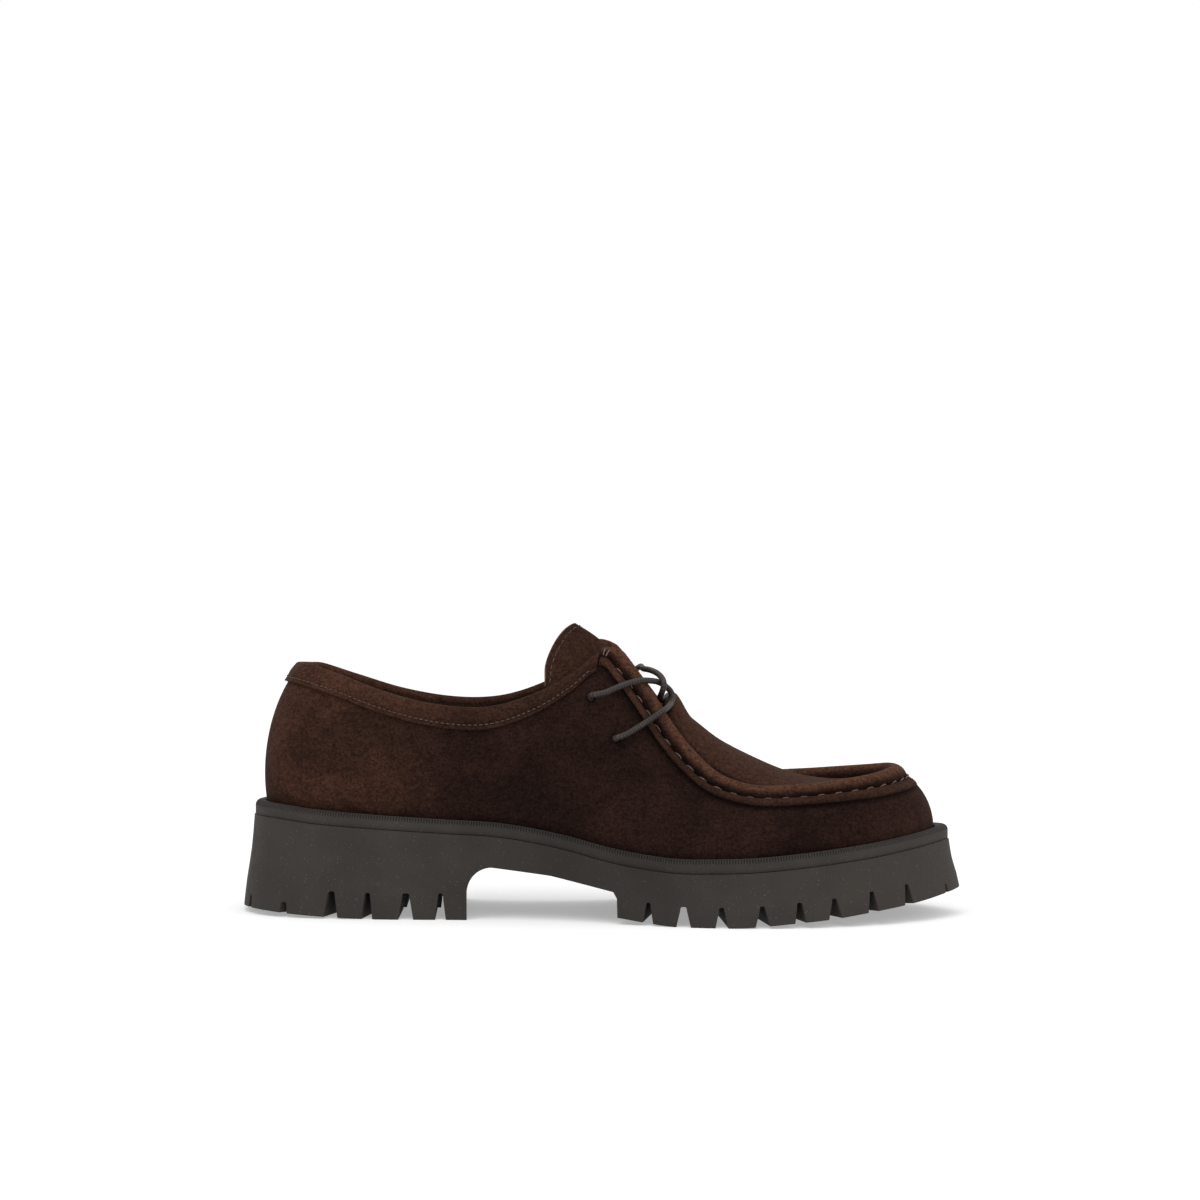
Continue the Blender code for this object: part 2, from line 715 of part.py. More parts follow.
def inner_rows():
    """Rings of the upper's inner face, from its foot to under the rolls."""
    rings = []
    top = BINDING_WIDTH * 1.2
    lining = [(1 - k / LINING_STEPS, 1.0) for k in range(LINING_STEPS + 1)]
    lining += [(0.0, 0.60), (0.0, 0.22)]
    for body, near_edge in lining:
        loop = []
        for s in SECTIONS:
            below = top * near_edge + (s.length - top) * body
            inner = s.down(below) - s.normal_below(below) * WALL
            if body == 1.0:
                inner.z = s.seat.z
            loop.append(inner)
        rings.append(loop)
    last = []
    for s in SECTIONS:
        width = WALL + (APRON_ROLL_WIDTH * 0.8 - WALL) * s.roll
        last.append(s.edge + s.inward * width - s.rise * WALL * (0.1 + 0.9 * s.roll))
    rings.append(last)
    return rings


def apron_rung(ring_points, column, drop):
    """The apron's cross line between the two sides of a ring, crowned in the middle."""
    start, end = ring_points[column], ring_points[-column]
    crown = SECTIONS[column].crown - drop
    base = (start.z + end.z) / 2
    points = []
    for k in range(1, APRON_STEPS):
        v = 2 * k / APRON_STEPS - 1
        swell = (1 - abs(v) ** 2.4) ** 0.75
        point = start.lerp(end, k / APRON_STEPS)
        points.append(point + Vector((0, 0, (crown - base) * swell)))
    return points


def close_apron(made, loop, ring_points, drop):
    """Adds the apron between the sides of a ring. Returns its back line."""
    rungs = []
    for column in range(APRON_COLUMN, TOE_COLUMN):
        middle = made.row(apron_rung(ring_points, column, drop))
        rungs.append([loop[column], *middle, loop[-column]])
    for low, high in zip(rungs, rungs[1:]):
        made.band(low, high, closed=False)
    tip = loop[TOE_COLUMN]
    for a, b in zip(rungs[-1], rungs[-1][1:]):
        made.quad(a, b, tip, tip)
    return rungs[0]


def upper(group, cutters, finish):
    """The suede upper: one hollow wall with its apron, open at collar, throat and foot."""
    made = Loft()
    outer, inner = outer_rows(), inner_rows()
    outer_loops = [made.row(r) for r in outer]
    inner_loops = [made.row(r) for r in inner]
    for loops in (outer_loops, inner_loops):
        for low, high in zip(loops, loops[1:]):
            made.band(low, high)
    made.band(outer_loops[0], inner_loops[0])
    outer_back = close_apron(made, outer_loops[-1], outer[-1], 0.0)
    inner_back = close_apron(made, inner_loops[-1], inner[-1], WALL * 1.35)
    made.band(outer_back, inner_back, closed=False)
    free = list(range(COLUMNS - APRON_COLUMN, COLUMNS)) + list(range(APRON_COLUMN + 1))
    made.band([outer_loops[-1][c] for c in free], [inner_loops[-1][c] for c in free], closed=False)
    shell = mesh_object("upper", made.points, made.faces, group, finish)
    for row, below in EYELETS:
        for place in (row, len(UPPER_LOOP) - row):
            eyelet_cutter(cutters, place, below)
    cut = shell.modifiers.new("eyelets", "BOOLEAN")
    cut.operation = "DIFFERENCE"
    cut.operand_type = "COLLECTION"
    cut.collection = cutters
    cut.solver = "EXACT"
    return shell


def eyelet_cutter(cutters, place, below):
    """A short round punch through the wall."""
    section = Section(place)
    point, normal = section.down(below), section.normal_below(below)
    mesh = bpy.data.meshes.new("eyelet_cutter")
    bm = bmesh.new()
    bmesh.ops.create_cone(
        bm,
        cap_ends=True,
        segments=10,
        radius1=EYELET_DIAMETER / 2,
        radius2=EYELET_DIAMETER / 2,
        depth=WALL * 5,
    )
    bm.to_mesh(mesh)
    bm.free()
    made = bpy.data.objects.new("eyelet_cutter", mesh)
    made.location = point - ORIGIN
    made.rotation_mode = "QUATERNION"
    made.rotation_quaternion = normal.to_track_quat("Z", "Y")
    cutters.objects.link(made)
    as_cutter(made)


def rand(group, finish):
    """The strip between upper and outsole edge: a ring with a rounded shoulder."""
    edge = tread_loop_at_sections()
    made = Loft()
    loops = [[] for _ in range(7)]
    for c, s in enumerate(SECTIONS):
        out = outward(edge, c)
        foot = edge[c] - out * (SIDE_FLARE + RAND_SETBACK)
        base = sole_top(foot.x) + SEAM_GAP
        inner_low = s.up(0.0) + s.out * SKIN_GAP
        inner_low.z = sole_top(inner_low.x) + SEAM_GAP
        middle = s.up(RAND_HEIGHT * 0.5)
        top = s.up(RAND_HEIGHT)
        inner_middle = middle + s.out * SKIN_GAP
        inner_top = top + s.out * SKIN_GAP
        shoulder = foot - out * RAND_ROUNDING
        rise = Vector((0, 0, 1))
        crest = shoulder.lerp(Vector((inner_top.x, inner_top.y, 0)), 0.45)
        profile = [
            foot + rise * base,
            foot + rise * (base + RAND_HEIGHT - RAND_ROUNDING * 1.6),
            shoulder + rise * (base + RAND_HEIGHT - RAND_ROUNDING * 0.3),
            crest + rise * (base + RAND_HEIGHT),
            inner_top,
            inner_middle,
            inner_low,
        ]
        for loop, point in zip(loops, profile):
            loop.append(point)
    rows = [made.row(loop) for loop in loops]
    for low, high in zip(rows, rows[1:] + rows[:1]):
        made.band(low, high)
    return mesh_object("rand", made.points, made.faces, group, finish)


def tread_loop_at_sections():
    """The tread's edge, one point opposite each section of the upper."""
    fine = tread_ring(16)
    found = []
    for s in SECTIONS:
        level = Vector((s.seat.x, s.seat.y, 0))

        def miss(p):
            reach = p - level
            return abs(reach.cross(s.out).z) + (1.0 if reach.dot(s.out) < 0 else 0.0)

        found.append(min(fine, key=miss))
    return found


def collar_binding(group, finish):
    """The folded strip over the collar, from one throat corner round the heel to the other."""
    made = Loft()
    columns = list(range(COLUMNS - THROAT_COLUMN + 1, COLUMNS)) + list(range(THROAT_COLUMN))
    skin = SKIN_GAP
    thick = SKIN_GAP + BINDING_THICKNESS
    half_way = BINDING_WIDTH * 0.45
    loops = []
    for c in columns:
        s = SECTIONS[c]
        low, middle = s.down(BINDING_WIDTH), s.down(half_way)
        n_low, n_middle = s.normal_below(BINDING_WIDTH), s.normal_below(half_way)
        rim = s.edge + s.rise * WALL * RIM_ROUNDING
        loops.append(made.row([
            low + n_low * skin,
            low + n_low * thick,
            middle + n_middle * thick * 1.15,
            rim - s.inward * thick,
            rim + s.inward * WALL * 0.1 + s.rise * thick,
            rim + s.inward * WALL * 0.9 + s.rise * thick,
            rim + s.inward * (WALL + thick),
            middle - n_middle * (WALL + thick * 1.15),
            low - n_low * (WALL + thick),
            low - n_low * (WALL + skin),
            middle - n_middle * (WALL + skin),
            rim + s.inward * (WALL + skin) + s.rise * skin,
            rim - s.inward * skin + s.rise * skin,
            middle + n_middle * skin,
        ]))
    for low, high in zip(loops, loops[1:]):
        made.band(low, high)
    made.faces += [loops[0], loops[-1]]
    return mesh_object("collar_binding", made.points, made.faces, group, finish)


def tongue(group, finish):
    """The tongue: a bowed sheet from under the apron, out over the instep."""
    slope = math.radians(TONGUE_SLOPE_DEGREES)
    down = Vector((-math.sin(slope), 0, -math.cos(slope)))
    made = Loft()
    outer_rows_, inner_rows_ = [], []
    for along, up, half, bow in TONGUE_RIDGE:
        x = along * SOLE_LENGTH
        ridge = Vector((x, 0, sole_top(x) + up * THROAT_HEIGHT))
        rounding = TONGUE_END_ROUNDING if along == TONGUE_RIDGE[-1][0] else 0.0
        outer, inner = [], []
        for k in range(TONGUE_STEPS + 1):
            v = 2 * k / TONGUE_STEPS - 1
            y = v * half * HALF_WIDTH
            millimetres = abs(y) * 1000
            drop = bow * millimetres**TONGUE_BOW / 1000
            steep = bow * TONGUE_BOW * millimetres ** (TONGUE_BOW - 1)
            lean = math.copysign(1, v) * math.atan(steep) if millimetres else 0.0
            normal = Vector((0, math.sin(lean), 0)) - down * math.cos(lean)
            point = ridge + Vector((-rounding * 4 * abs(v) * (1 - abs(v)), y, 0)) + down * drop
            outer.append(point)
            inner.append(point - normal * TONGUE_THICKNESS)
        outer_rows_.append(made.row(outer))
        inner_rows_.append(made.row(inner))
    for rows in (outer_rows_, inner_rows_):
        for low, high in zip(rows, rows[1:]):
            made.band(low, high, closed=False)
    made.band(outer_rows_[0], inner_rows_[0], closed=False)
    made.band(outer_rows_[-1], inner_rows_[-1], closed=False)
    for side in (0, -1):
        made.band([r[side] for r in outer_rows_], [r[side] for r in inner_rows_], closed=False)
    return mesh_object("tongue", made.points, made.faces, group, finish)


def insole(group, finish):
    """The footbed on the outsole's top, inside the upper."""
    made = Loft()
    loops = []
    for inset, rise in ((0.0, 0.0), (0.0, 0.75), (0.0010, 1.0)):
        loop = []
        for s in SECTIONS:
            p = s.seat - s.out * (WALL + SKIN_GAP + SEAM_GAP + inset)
            loop.append(Vector((p.x, p.y, sole_top(p.x) + SEAM_GAP + INSOLE_THICKNESS * rise)))
        loops.append(made.row(loop))
    for low, high in zip(loops, loops[1:]):
        made.band(low, high)
    made.ladder(loops[0])
    made.ladder(loops[-1])
    return mesh_object("insole", made.points, made.faces, group, finish)


def lace_half(name, places, group):
    """One half of the lace as a tube."""
    route = []
    for along, across, up in places:
        x = along * SOLE_LENGTH
        point = Vector((x, across * HALF_WIDTH, sole_top(x) + up * THROAT_HEIGHT))
        route.append(point)
    curve = bpy.data.curves.new(name, "CURVE")
    curve.dimensions = "3D"
    curve.bevel_depth = LACE_DIAMETER / 2
    curve.bevel_resolution = LACE_SIDES_RESOLUTION
    curve.use_fill_caps = True
    points = []
    last = len(route) - 1
    steps = 2
    for k in range(last):
        for j in range(steps):
            t = j / steps
            p0, p1, p2, p3 = route[max(k - 1, 0)], route[k], route[k + 1], route[min(k + 2, last)]
            points.append(0.5 * (
                2 * p1 + (p2 - p0) * t + (2 * p0 - 5 * p1 + 4 * p2 - p3) * t * t
                + (3 * p1 - p0 - 3 * p2 + p3) * t**3
            ))
    points.append(route[-1])
    path = curve.splines.new("POLY")
    path.points.add(len(points) - 1)
    for slot, point in zip(path.points, points):
        slot.co = (*(point - ORIGIN), 1)
    tube = bpy.data.objects.new(name + "_curve", curve)
    group.objects.link(tube)
    return as_mesh(tube, name, group)


def as_mesh(tube, name, group):
    """Turns a tube into a welded mesh object and removes the curve."""
    bpy.context.view_layer.update()
    evaluated = tube.evaluated_get(bpy.context.evaluated_depsgraph_get())
    mesh = bpy.data.meshes.new_from_object(evaluated)
    bm = bmesh.new()
    bm.from_mesh(mesh)
    bmesh.ops.remove_doubles(bm, verts=bm.verts, dist=0.00001)
    bm.to_mesh(mesh)
    bm.free()
    made = bpy.data.objects.new(name, mesh)
    made.matrix_world = tube.matrix_world
    group.objects.link(made)
    bpy.data.objects.remove(tube)
    return made


def lace(group, cutters, finish):
    """The two halves of the lace, hooked round each other over the tongue."""
    made = lace_half("lace", LACE_OUTER, group)
    other = as_cutter(lace_half("lace_inner_half", LACE_INNER, cutters))
    made.data.materials.append(finish)
    made.data.shade_smooth()
    join = made.modifiers.new("hook", "BOOLEAN")
    join.operation = "UNION"
    join.object = other
    join.solver = "EXACT"
    return made


def build():
    """Makes every piece."""
    reset()
    shoe = collection("moc_toe_shoe")
    sole_cutters = collection("sole_cutters")
    eyelet_cutters = collection("eyelet_cutters")
    lace_cutters = collection("lace_cutters")
    rubber = material("rubber", (0.052, 0.046, 0.041), 0.62)
    suede = material("suede", (0.045, 0.020, 0.011), 0.95)
    lining = material("lining", (0.105, 0.060, 0.036), 0.70)
    cord = material("waxed_cord", (0.048, 0.036, 0.032), 0.55)
    outsole(shoe, sole_cutters, rubber)
    rand(shoe, rubber)
    upper(shoe, eyelet_cutters, suede)
    collar_binding(shoe, suede)
    tongue(shoe, suede)
    insole(shoe, lining)
    lace(shoe, lace_cutters, cord)


build()
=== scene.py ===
"""A suede moc toe shoe for the right foot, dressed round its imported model.

+X points to the toe, -Y to the outer side of the foot and +Z up. Lengths are in
metres. The named sizes and the tables of sections repeat those of the part's source.
"""

import math
import random

import bmesh
import bpy
import numpy as np
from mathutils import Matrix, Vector


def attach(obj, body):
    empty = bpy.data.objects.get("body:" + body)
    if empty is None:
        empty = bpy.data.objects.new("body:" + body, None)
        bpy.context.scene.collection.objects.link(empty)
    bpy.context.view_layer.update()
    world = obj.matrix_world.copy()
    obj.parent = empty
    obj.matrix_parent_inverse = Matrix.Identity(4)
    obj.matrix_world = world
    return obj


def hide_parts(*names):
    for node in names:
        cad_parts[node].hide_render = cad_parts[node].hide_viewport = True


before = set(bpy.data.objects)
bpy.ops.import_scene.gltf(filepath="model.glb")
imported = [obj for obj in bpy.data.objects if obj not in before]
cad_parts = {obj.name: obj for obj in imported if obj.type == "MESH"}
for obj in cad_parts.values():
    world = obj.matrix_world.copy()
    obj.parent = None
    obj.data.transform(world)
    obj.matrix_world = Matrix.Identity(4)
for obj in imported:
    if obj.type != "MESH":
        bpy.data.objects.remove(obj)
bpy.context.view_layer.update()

# Camera, as the photograph has it
CAMERA_TURN = math.radians(5.0)
CAMERA_DISTANCE = 1.0
CAMERA_HEIGHT = 0.1199
CAMERA_ASIDE = 0.00044
SENSOR = 36.0
FOCAL_SHARE = 2586 / 1200

# Studio
FLOOR_REACH = 30.0
# Lower glow of the floor round the shoe: painted shade.
FLOOR_GLOW_NEAR = 0.34
FLOOR_GLOW = 0.42
LIGHT_AIM = Vector((0, 0, 0.03))
LIGHTS = [
    # name, place, size, power
    ("key_light", (-0.25, -0.75, 1.30), 1.1, 6.0),
    ("top_light", (0.20, 0.25, 1.50), 1.4, 4.0),
    ("front_light", (0.70, -1.30, 0.55), 0.9, 3.0),
]

# Sole
SOLE_LENGTH = 0.278
TREAD_WIDTH = 0.105
HEEL_STACK = 0.0369
BALL_STACK = 0.0190
TOE_RISE = 0.0098
TREAD_SPRING = 0.0104
HEEL_BEVEL = 0.0024
SIDE_FLARE = 0.0040
TOP_BEVEL = 0.0006
HEEL_BREAST = 0.0930
BALL_BREAST = 0.1500
ARCH_HEIGHT = 0.0194
ARCH_FRONT_HEIGHT = 0.0117
BREAST_RADIUS = 0.0095
BREAST_SKEW_DEGREES = 8.0
HEEL_LUG_DEPTH = 0.0097
BALL_LUG_DEPTH = 0.0073
CHANNEL_WIDTH = 0.0060
CHANNEL_DEPTH = 0.0050
CHANNELS = [(0.150, 0.360), (0.520, 0.890)]

# Rand
RAND_HEIGHT = 0.0050
RAND_SETBACK = 0.0004
RAND_ROUNDING = 0.0011
RAND_SINK = 0.00022
RIB_PITCH = 0.00105
RIB_DEPTH = 0.00030
RIB_CUTS = 4

# Upper
THROAT_HEIGHT = 0.0790
WALL = 0.0020
SUEDE_SHARE = 0.60
LINING_SHARE = 0.64
APRON_DROP = 1.35
APRON_ROLL_WIDTH = 0.0062
APRON_ROLL_HEIGHT = 0.0050
VAMP_ROLL_WIDTH = 0.0048
VAMP_ROLL_HEIGHT = 0.0019
TIP_FLATTENING = 0.8
TIP_LEAN = 0.42
TIP_DRAW = 0.0019
VAMP_PUCKER = 0.00016
APRON_PUCKER = 0.00018
EYELET_DIAMETER = 0.0034
EYELET_DENT = 0.0005
EYELET_DENT_REACH = 0.0021
RIM_ROUNDING = 0.10

# Collar binding, tongue, insole and lace
BINDING_WIDTH = 0.0072
BINDING_THICKNESS = 0.0012
TONGUE_THICKNESS = 0.0024
TONGUE_SLOPE_DEGREES = 26.0
TONGUE_BOW = 1.6
TONGUE_END_ROUNDING = 0.0036
TONGUE_CORNER = 0.0016
TONGUE_SINK = 0.0030
TONGUE_BORDER = 0.05
INSOLE_THICKNESS = 0.0040
LACE_DIAMETER = 0.0023
BRAID_PITCH = 0.0022

# Clearances between pieces that touch
SEAM_GAP = 0.0003
SKIN_GAP = 0.0004

# Stitches and loose fibres
MOC_PITCH = 0.0066
MOC_STITCH = 0.0036
MOC_THREAD = 0.00027
MOC_LIFT = 0.00075
MOC_DIP = 0.00110
TACK_ROWS = (9.12, 9.26)
COLLAR_PITCH = 0.0021
COLLAR_STITCH = 0.0014
COLLAR_THREAD = 0.00022
COLLAR_STITCH_RISE = 0.0017
TONGUE_PITCH = 0.0030
TONGUE_STITCH = 0.0020
TONGUE_MARGIN = 0.0009
TONGUE_STITCH_START = 3.2
TONGUE_STITCH_END = 5.74
ROLL_FIBRES = 7600
COLLAR_FIBRES = 4200
FIBRE_WIDTH = 0.000026
FIBRE_LENGTH = (0.0003, 0.0008)
FIBRE_STRAY = 0.0006

# How finely the surfaces are cut
COLUMNS_PER_ROW = 16
SOLE_COLUMNS_PER_ROW = 12
WALL_SAMPLES = 32
BODY_RINGS = 30
LINING_RINGS = 14
APRON_CUTS = 44
TONGUE_CUTS = 48
TONGUE_ROWS = 60
LACE_SIDES = 24
LACE_STEPS = 12

HALF_WIDTH = TREAD_WIDTH / 2
UP = Vector((0, 0, 1))

# Outsole edge on the tread: shares of the sole's length and of its half width
TREAD_EDGE = [
    # along, outer, inner
    (0.004, 0.000, 0.000),
    (0.008, 0.160, 0.160),
    (0.020, 0.345, 0.345),
    (0.053, 0.543, 0.543),
    (0.115, 0.676, 0.676),
    (0.216, 0.698, 0.695),
    (0.342, 0.676, 0.657),
    (0.450, 0.724, 0.680),
    (0.558, 0.868, 0.832),
    (0.647, 0.975, 0.955),
    (0.730, 0.992, 1.008),
    (0.813, 0.905, 0.975),
    (0.888, 0.714, 0.838),
    (0.946, 0.457, 0.610),
    (0.980, 0.210, 0.380),
    (0.995, 0.050, 0.222),
    (1.000, -0.086, 0.086),
]

# Height of the outsole's top: shares of the heel's extra stack and of the toe's rise
SOLE_TOP = [
    # along, heel, toe
    (0.000, 1.040, 0.000),
    (0.065, 1.000, 0.000),
    (0.122, 0.905, 0.000),
    (0.200, 0.815, 0.000),
    (0.300, 0.720, 0.000),
    (0.378, 0.650, 0.000),
    (0.460, 0.440, 0.000),
    (0.532, 0.180, 0.000),
    (0.600, 0.030, 0.000),
    (0.650, 0.000, 0.010),
    (0.735, 0.000, 0.110),
    (0.870, 0.000, 0.520),
    (0.942, 0.000, 0.830),
    (1.000, 0.000, 1.080),
]

# Height of the tread: shares of the heel's bevel and of the toe spring
TREAD_RISE = [
    # along, bevel, spring
    (0.000, 1.000, 0.000),
    (0.045, 0.920, 0.000),
    (0.090, 0.620, 0.000),
    (0.125, 0.400, 0.000),
    (0.160, 0.180, 0.000),
    (0.200, 0.050, 0.000),
    (0.230, 0.000, 0.000),
    (0.345, 0.000, 0.000),
    (0.400, 0.000, 0.050),
    (0.530, 0.000, 0.260),
    (0.571, 0.000, 0.135),
    (0.600, 0.000, 0.045),
    (0.623, 0.000, 0.000),
    (0.692, 0.000, 0.000),
    (0.725, 0.000, 0.045),
    (0.778, 0.000, 0.173),
    (0.825, 0.000, 0.288),
    (0.876, 0.000, 0.470),
    (0.938, 0.000, 0.700),
    (1.000, 0.000, 1.000),
]

# Grooves between the lugs, as in the part's source
GROOVES = [
    # along outer, along inner, turn outer, turn inner, depth, foot, crown, reach
    (0.026, 0.026, 52, 52, 0.48, 0.60, 0.34, 0.36),
    (0.081, 0.078, 34, 34, 0.42, 0.80, 0.60, 0.40),
    (0.149, 0.137, 9, 0, 1.00, 0.64, 0.28, 0.72),
    (0.199, 0.181, 4, 3, 1.00, 0.49, 0.22, 0.72),
    (0.252, 0.226, -6, 7, 1.00, 0.67, 0.30, 0.72),
    (0.299, 0.270, -7, 8, 1.00, 0.49, 0.20, 0.72),
    (0.582, 0.582, 3, 3, 1.00, 0.65, 0.24, 0.92),
    (0.630, 0.630, -3, -3, 1.00, 0.88, 0.34, 0.98),
    (0.681, 0.681, -8, -8, 1.00, 0.80, 0.28, 1.02),
    (0.735, 0.735, -12, -12, 1.00, 0.94, 0.28, 1.02),
    (0.784, 0.784, -16, -16, 1.00, 0.64, 0.28, 0.98),
    (0.830, 0.830, -21, -21, 1.00, 0.90, 0.28, 0.86),
    (0.880, 0.880, -28, -28, 1.00, 0.70, 0.28, 0.62),
    (0.928, 0.928, -40, -40, 1.00, 0.70, 0.28, 0.44),
    (0.981, 0.981, -64, -64, 0.44, 0.80, 0.40, 0.24),
]

# The upper, row by row from the back of the heel to the tip of the toe
UPPER = [
    # seat: along outer inner | edge: along outer, along inner, outer, inner
    # up: outer inner | belly shoulder dip | crown
    (0.040, 0.000, 0.000, 0.080, 0.080, 0.000, 0.000, 0.730, 0.730, 0.090, 0.225, 0.25, 0.0),
    (0.047, 0.205, 0.205, 0.088, 0.088, 0.162, 0.162, 0.730, 0.730, 0.086, 0.205, 0.25, 0.0),
    (0.070, 0.372, 0.372, 0.106, 0.106, 0.295, 0.295, 0.732, 0.728, 0.076, 0.160, 0.27, 0.0),
    (0.123, 0.486, 0.486, 0.152, 0.152, 0.390, 0.390, 0.699, 0.686, 0.066, 0.125, 0.30, 0.0),
    (0.198, 0.533, 0.530, 0.216, 0.216, 0.467, 0.467, 0.635, 0.631, 0.061, 0.105, 0.30, 0.0),
    (0.281, 0.535, 0.526, 0.288, 0.288, 0.499, 0.499, 0.591, 0.605, 0.060, 0.095, 0.30, 0.0),
    (0.353, 0.524, 0.508, 0.360, 0.356, 0.507, 0.503, 0.594, 0.625, 0.061, 0.100, 0.30, 0.0),
    (0.410, 0.540, 0.515, 0.421, 0.413, 0.476, 0.469, 0.684, 0.712, 0.064, 0.150, 0.30, 0.0),
    (0.457, 0.580, 0.548, 0.471, 0.458, 0.395, 0.386, 0.812, 0.832, 0.066, 0.240, 0.28, 0.0),
    (0.496, 0.618, 0.580, 0.511, 0.494, 0.300, 0.300, 0.950, 0.972, 0.068, 0.290, 0.25, 0.0),
    (0.525, 0.660, 0.614, 0.537, 0.524, 0.352, 0.346, 0.892, 0.892, 0.066, 0.285, 0.26, 0.0),
    (0.558, 0.708, 0.668, 0.567, 0.556, 0.398, 0.391, 0.766, 0.766, 0.062, 0.272, 0.27, 0.0),
    (0.590, 0.752, 0.722, 0.595, 0.586, 0.448, 0.438, 0.628, 0.632, 0.056, 0.262, 0.28, 0.780),
    (0.626, 0.794, 0.782, 0.628, 0.622, 0.510, 0.501, 0.499, 0.508, 0.048, 0.250, 0.27, 0.697),
    (0.669, 0.826, 0.836, 0.665, 0.662, 0.577, 0.571, 0.394, 0.412, 0.041, 0.236, 0.25, 0.594),
    (0.730, 0.834, 0.860, 0.716, 0.716, 0.636, 0.644, 0.334, 0.358, 0.036, 0.215, 0.21, 0.496),
    (0.798, 0.765, 0.829, 0.774, 0.774, 0.640, 0.670, 0.318, 0.343, 0.033, 0.195, 0.18, 0.402),
    (0.862, 0.630, 0.733, 0.836, 0.836, 0.581, 0.638, 0.316, 0.334, 0.031, 0.178, 0.18, 0.342),
    (0.916, 0.425, 0.575, 0.887, 0.887, 0.438, 0.533, 0.318, 0.328, 0.030, 0.160, 0.20, 0.320),
    (0.952, 0.180, 0.350, 0.922, 0.922, 0.219, 0.333, 0.321, 0.325, 0.029, 0.148, 0.22, 0.318),
    (0.963, -0.076, 0.076, 0.935, 0.935, -0.057, 0.057, 0.322, 0.322, 0.029, 0.143, 0.22, 0.319),
]
THROAT_ROW = 9
TIP_ROW = 17.5
APRON_ROW = 12
LIFT_OF_BELLY = 0.33

# Profiles of the seam's two rolls, finer than in the source and inside the same shape
APRON_ROLL = [
    (0.00, 0.06), (-0.03, 0.20), (-0.03, 0.42), (0.02, 0.62), (0.10, 0.78), (0.20, 0.90), (0.34, 0.98),
    (0.48, 1.00), (0.62, 0.97), (0.76, 0.89), (0.88, 0.74), (0.96, 0.55), (1.00, 0.34), (1.01, 0.16),
    (1.00, 0.04),
]
VAMP_ROLL = [
    (1.10, 0.00), (1.02, 0.00), (1.00, 0.16), (0.985, 0.46), (0.93, 0.74), (0.84, 0.92), (0.70, 1.00),
    (0.54, 1.00), (0.38, 0.90), (0.25, 0.68), (0.14, 0.36), (0.06, 0.10),
]

# Ridge of the tongue, from under the apron to its free end
TONGUE_RIDGE = [
    # along, up, half width, bow
    (0.665, 0.522, 0.270, 0.170),
    (0.630, 0.628, 0.290, 0.175),
    (0.595, 0.720, 0.310, 0.180),
    (0.568, 0.818, 0.325, 0.190),
    (0.540, 0.922, 0.340, 0.200),
    (0.504, 1.020, 0.352, 0.220),
    (0.469, 1.072, 0.360, 0.238),
]

# Eyelets: place between the upper's rows, and distance below the edge
EYELETS = [(8.85, 0.0176), (10.25, 0.0254)]

# Middle lines of the two halves of the lace, each from its top eyelet round the hook to its
# lower eyelet, as in the part's source
LACE_OUTER = [
    # along, across, up
    (0.5002, -0.4252, 0.729),
    (0.4988, -0.4785, 0.744),
    (0.5006, -0.5147, 0.757),
    (0.5078, -0.5299, 0.769),
    (0.5190, -0.5147, 0.786),
    (0.5334, -0.4842, 0.818),
    (0.5493, -0.4518, 0.849),
    (0.5651, -0.4137, 0.870),
    (0.5778, -0.3490, 0.875),
    (0.5883, -0.2652, 0.871),
    (0.5970, -0.1890, 0.853),
    (0.6037, -0.1509, 0.829),
    (0.6066, -0.1623, 0.800),
    (0.6052, -0.2309, 0.774),
    (0.6018, -0.3909, 0.756),
    (0.5974, -0.4785, 0.742),
    (0.5907, -0.5090, 0.724),
    (0.5800, -0.5166, 0.694),
    (0.5668, -0.5452, 0.658),
    (0.5539, -0.5833, 0.623),
    (0.5437, -0.6156, 0.600),
    (0.5369, -0.6137, 0.589),
    (0.5340, -0.5890, 0.580),
    (0.5365, -0.5394, 0.570),
]
LACE_INNER = [
    # along, across, up
    (0.4869, 0.4129, 0.752),
    (0.4851, 0.4682, 0.766),
    (0.4869, 0.5025, 0.778),
    (0.4941, 0.5196, 0.790),
    (0.5106, 0.5082, 0.816),
    (0.5293, 0.4682, 0.852),
    (0.5452, 0.4148, 0.893),
    (0.5552, 0.3253, 0.920),
    (0.5596, 0.2072, 0.921),
    (0.5631, 0.0815, 0.918),
    (0.5729, -0.0328, 0.919),
    (0.5832, -0.1394, 0.913),
    (0.5910, -0.2194, 0.898),
    (0.5954, -0.2804, 0.877),
    (0.5959, -0.3033, 0.852),
    (0.5933, -0.2804, 0.823),
    (0.5899, -0.2156, 0.797),
    (0.5906, -0.1356, 0.783),
    (0.5946, -0.0556, 0.789),
    (0.5991, 0.0358, 0.805),
    (0.6027, 0.1310, 0.797),
    (0.6006, 0.2339, 0.781),
    (0.5955, 0.3367, 0.774),
    (0.5869, 0.4244, 0.750),
    (0.5725, 0.4967, 0.701),
    (0.5552, 0.5577, 0.644),
    (0.5401, 0.6034, 0.606),
    (0.5304, 0.6072, 0.590),
    (0.5250, 0.5806, 0.577),
    (0.5268, 0.5310, 0.568),
]
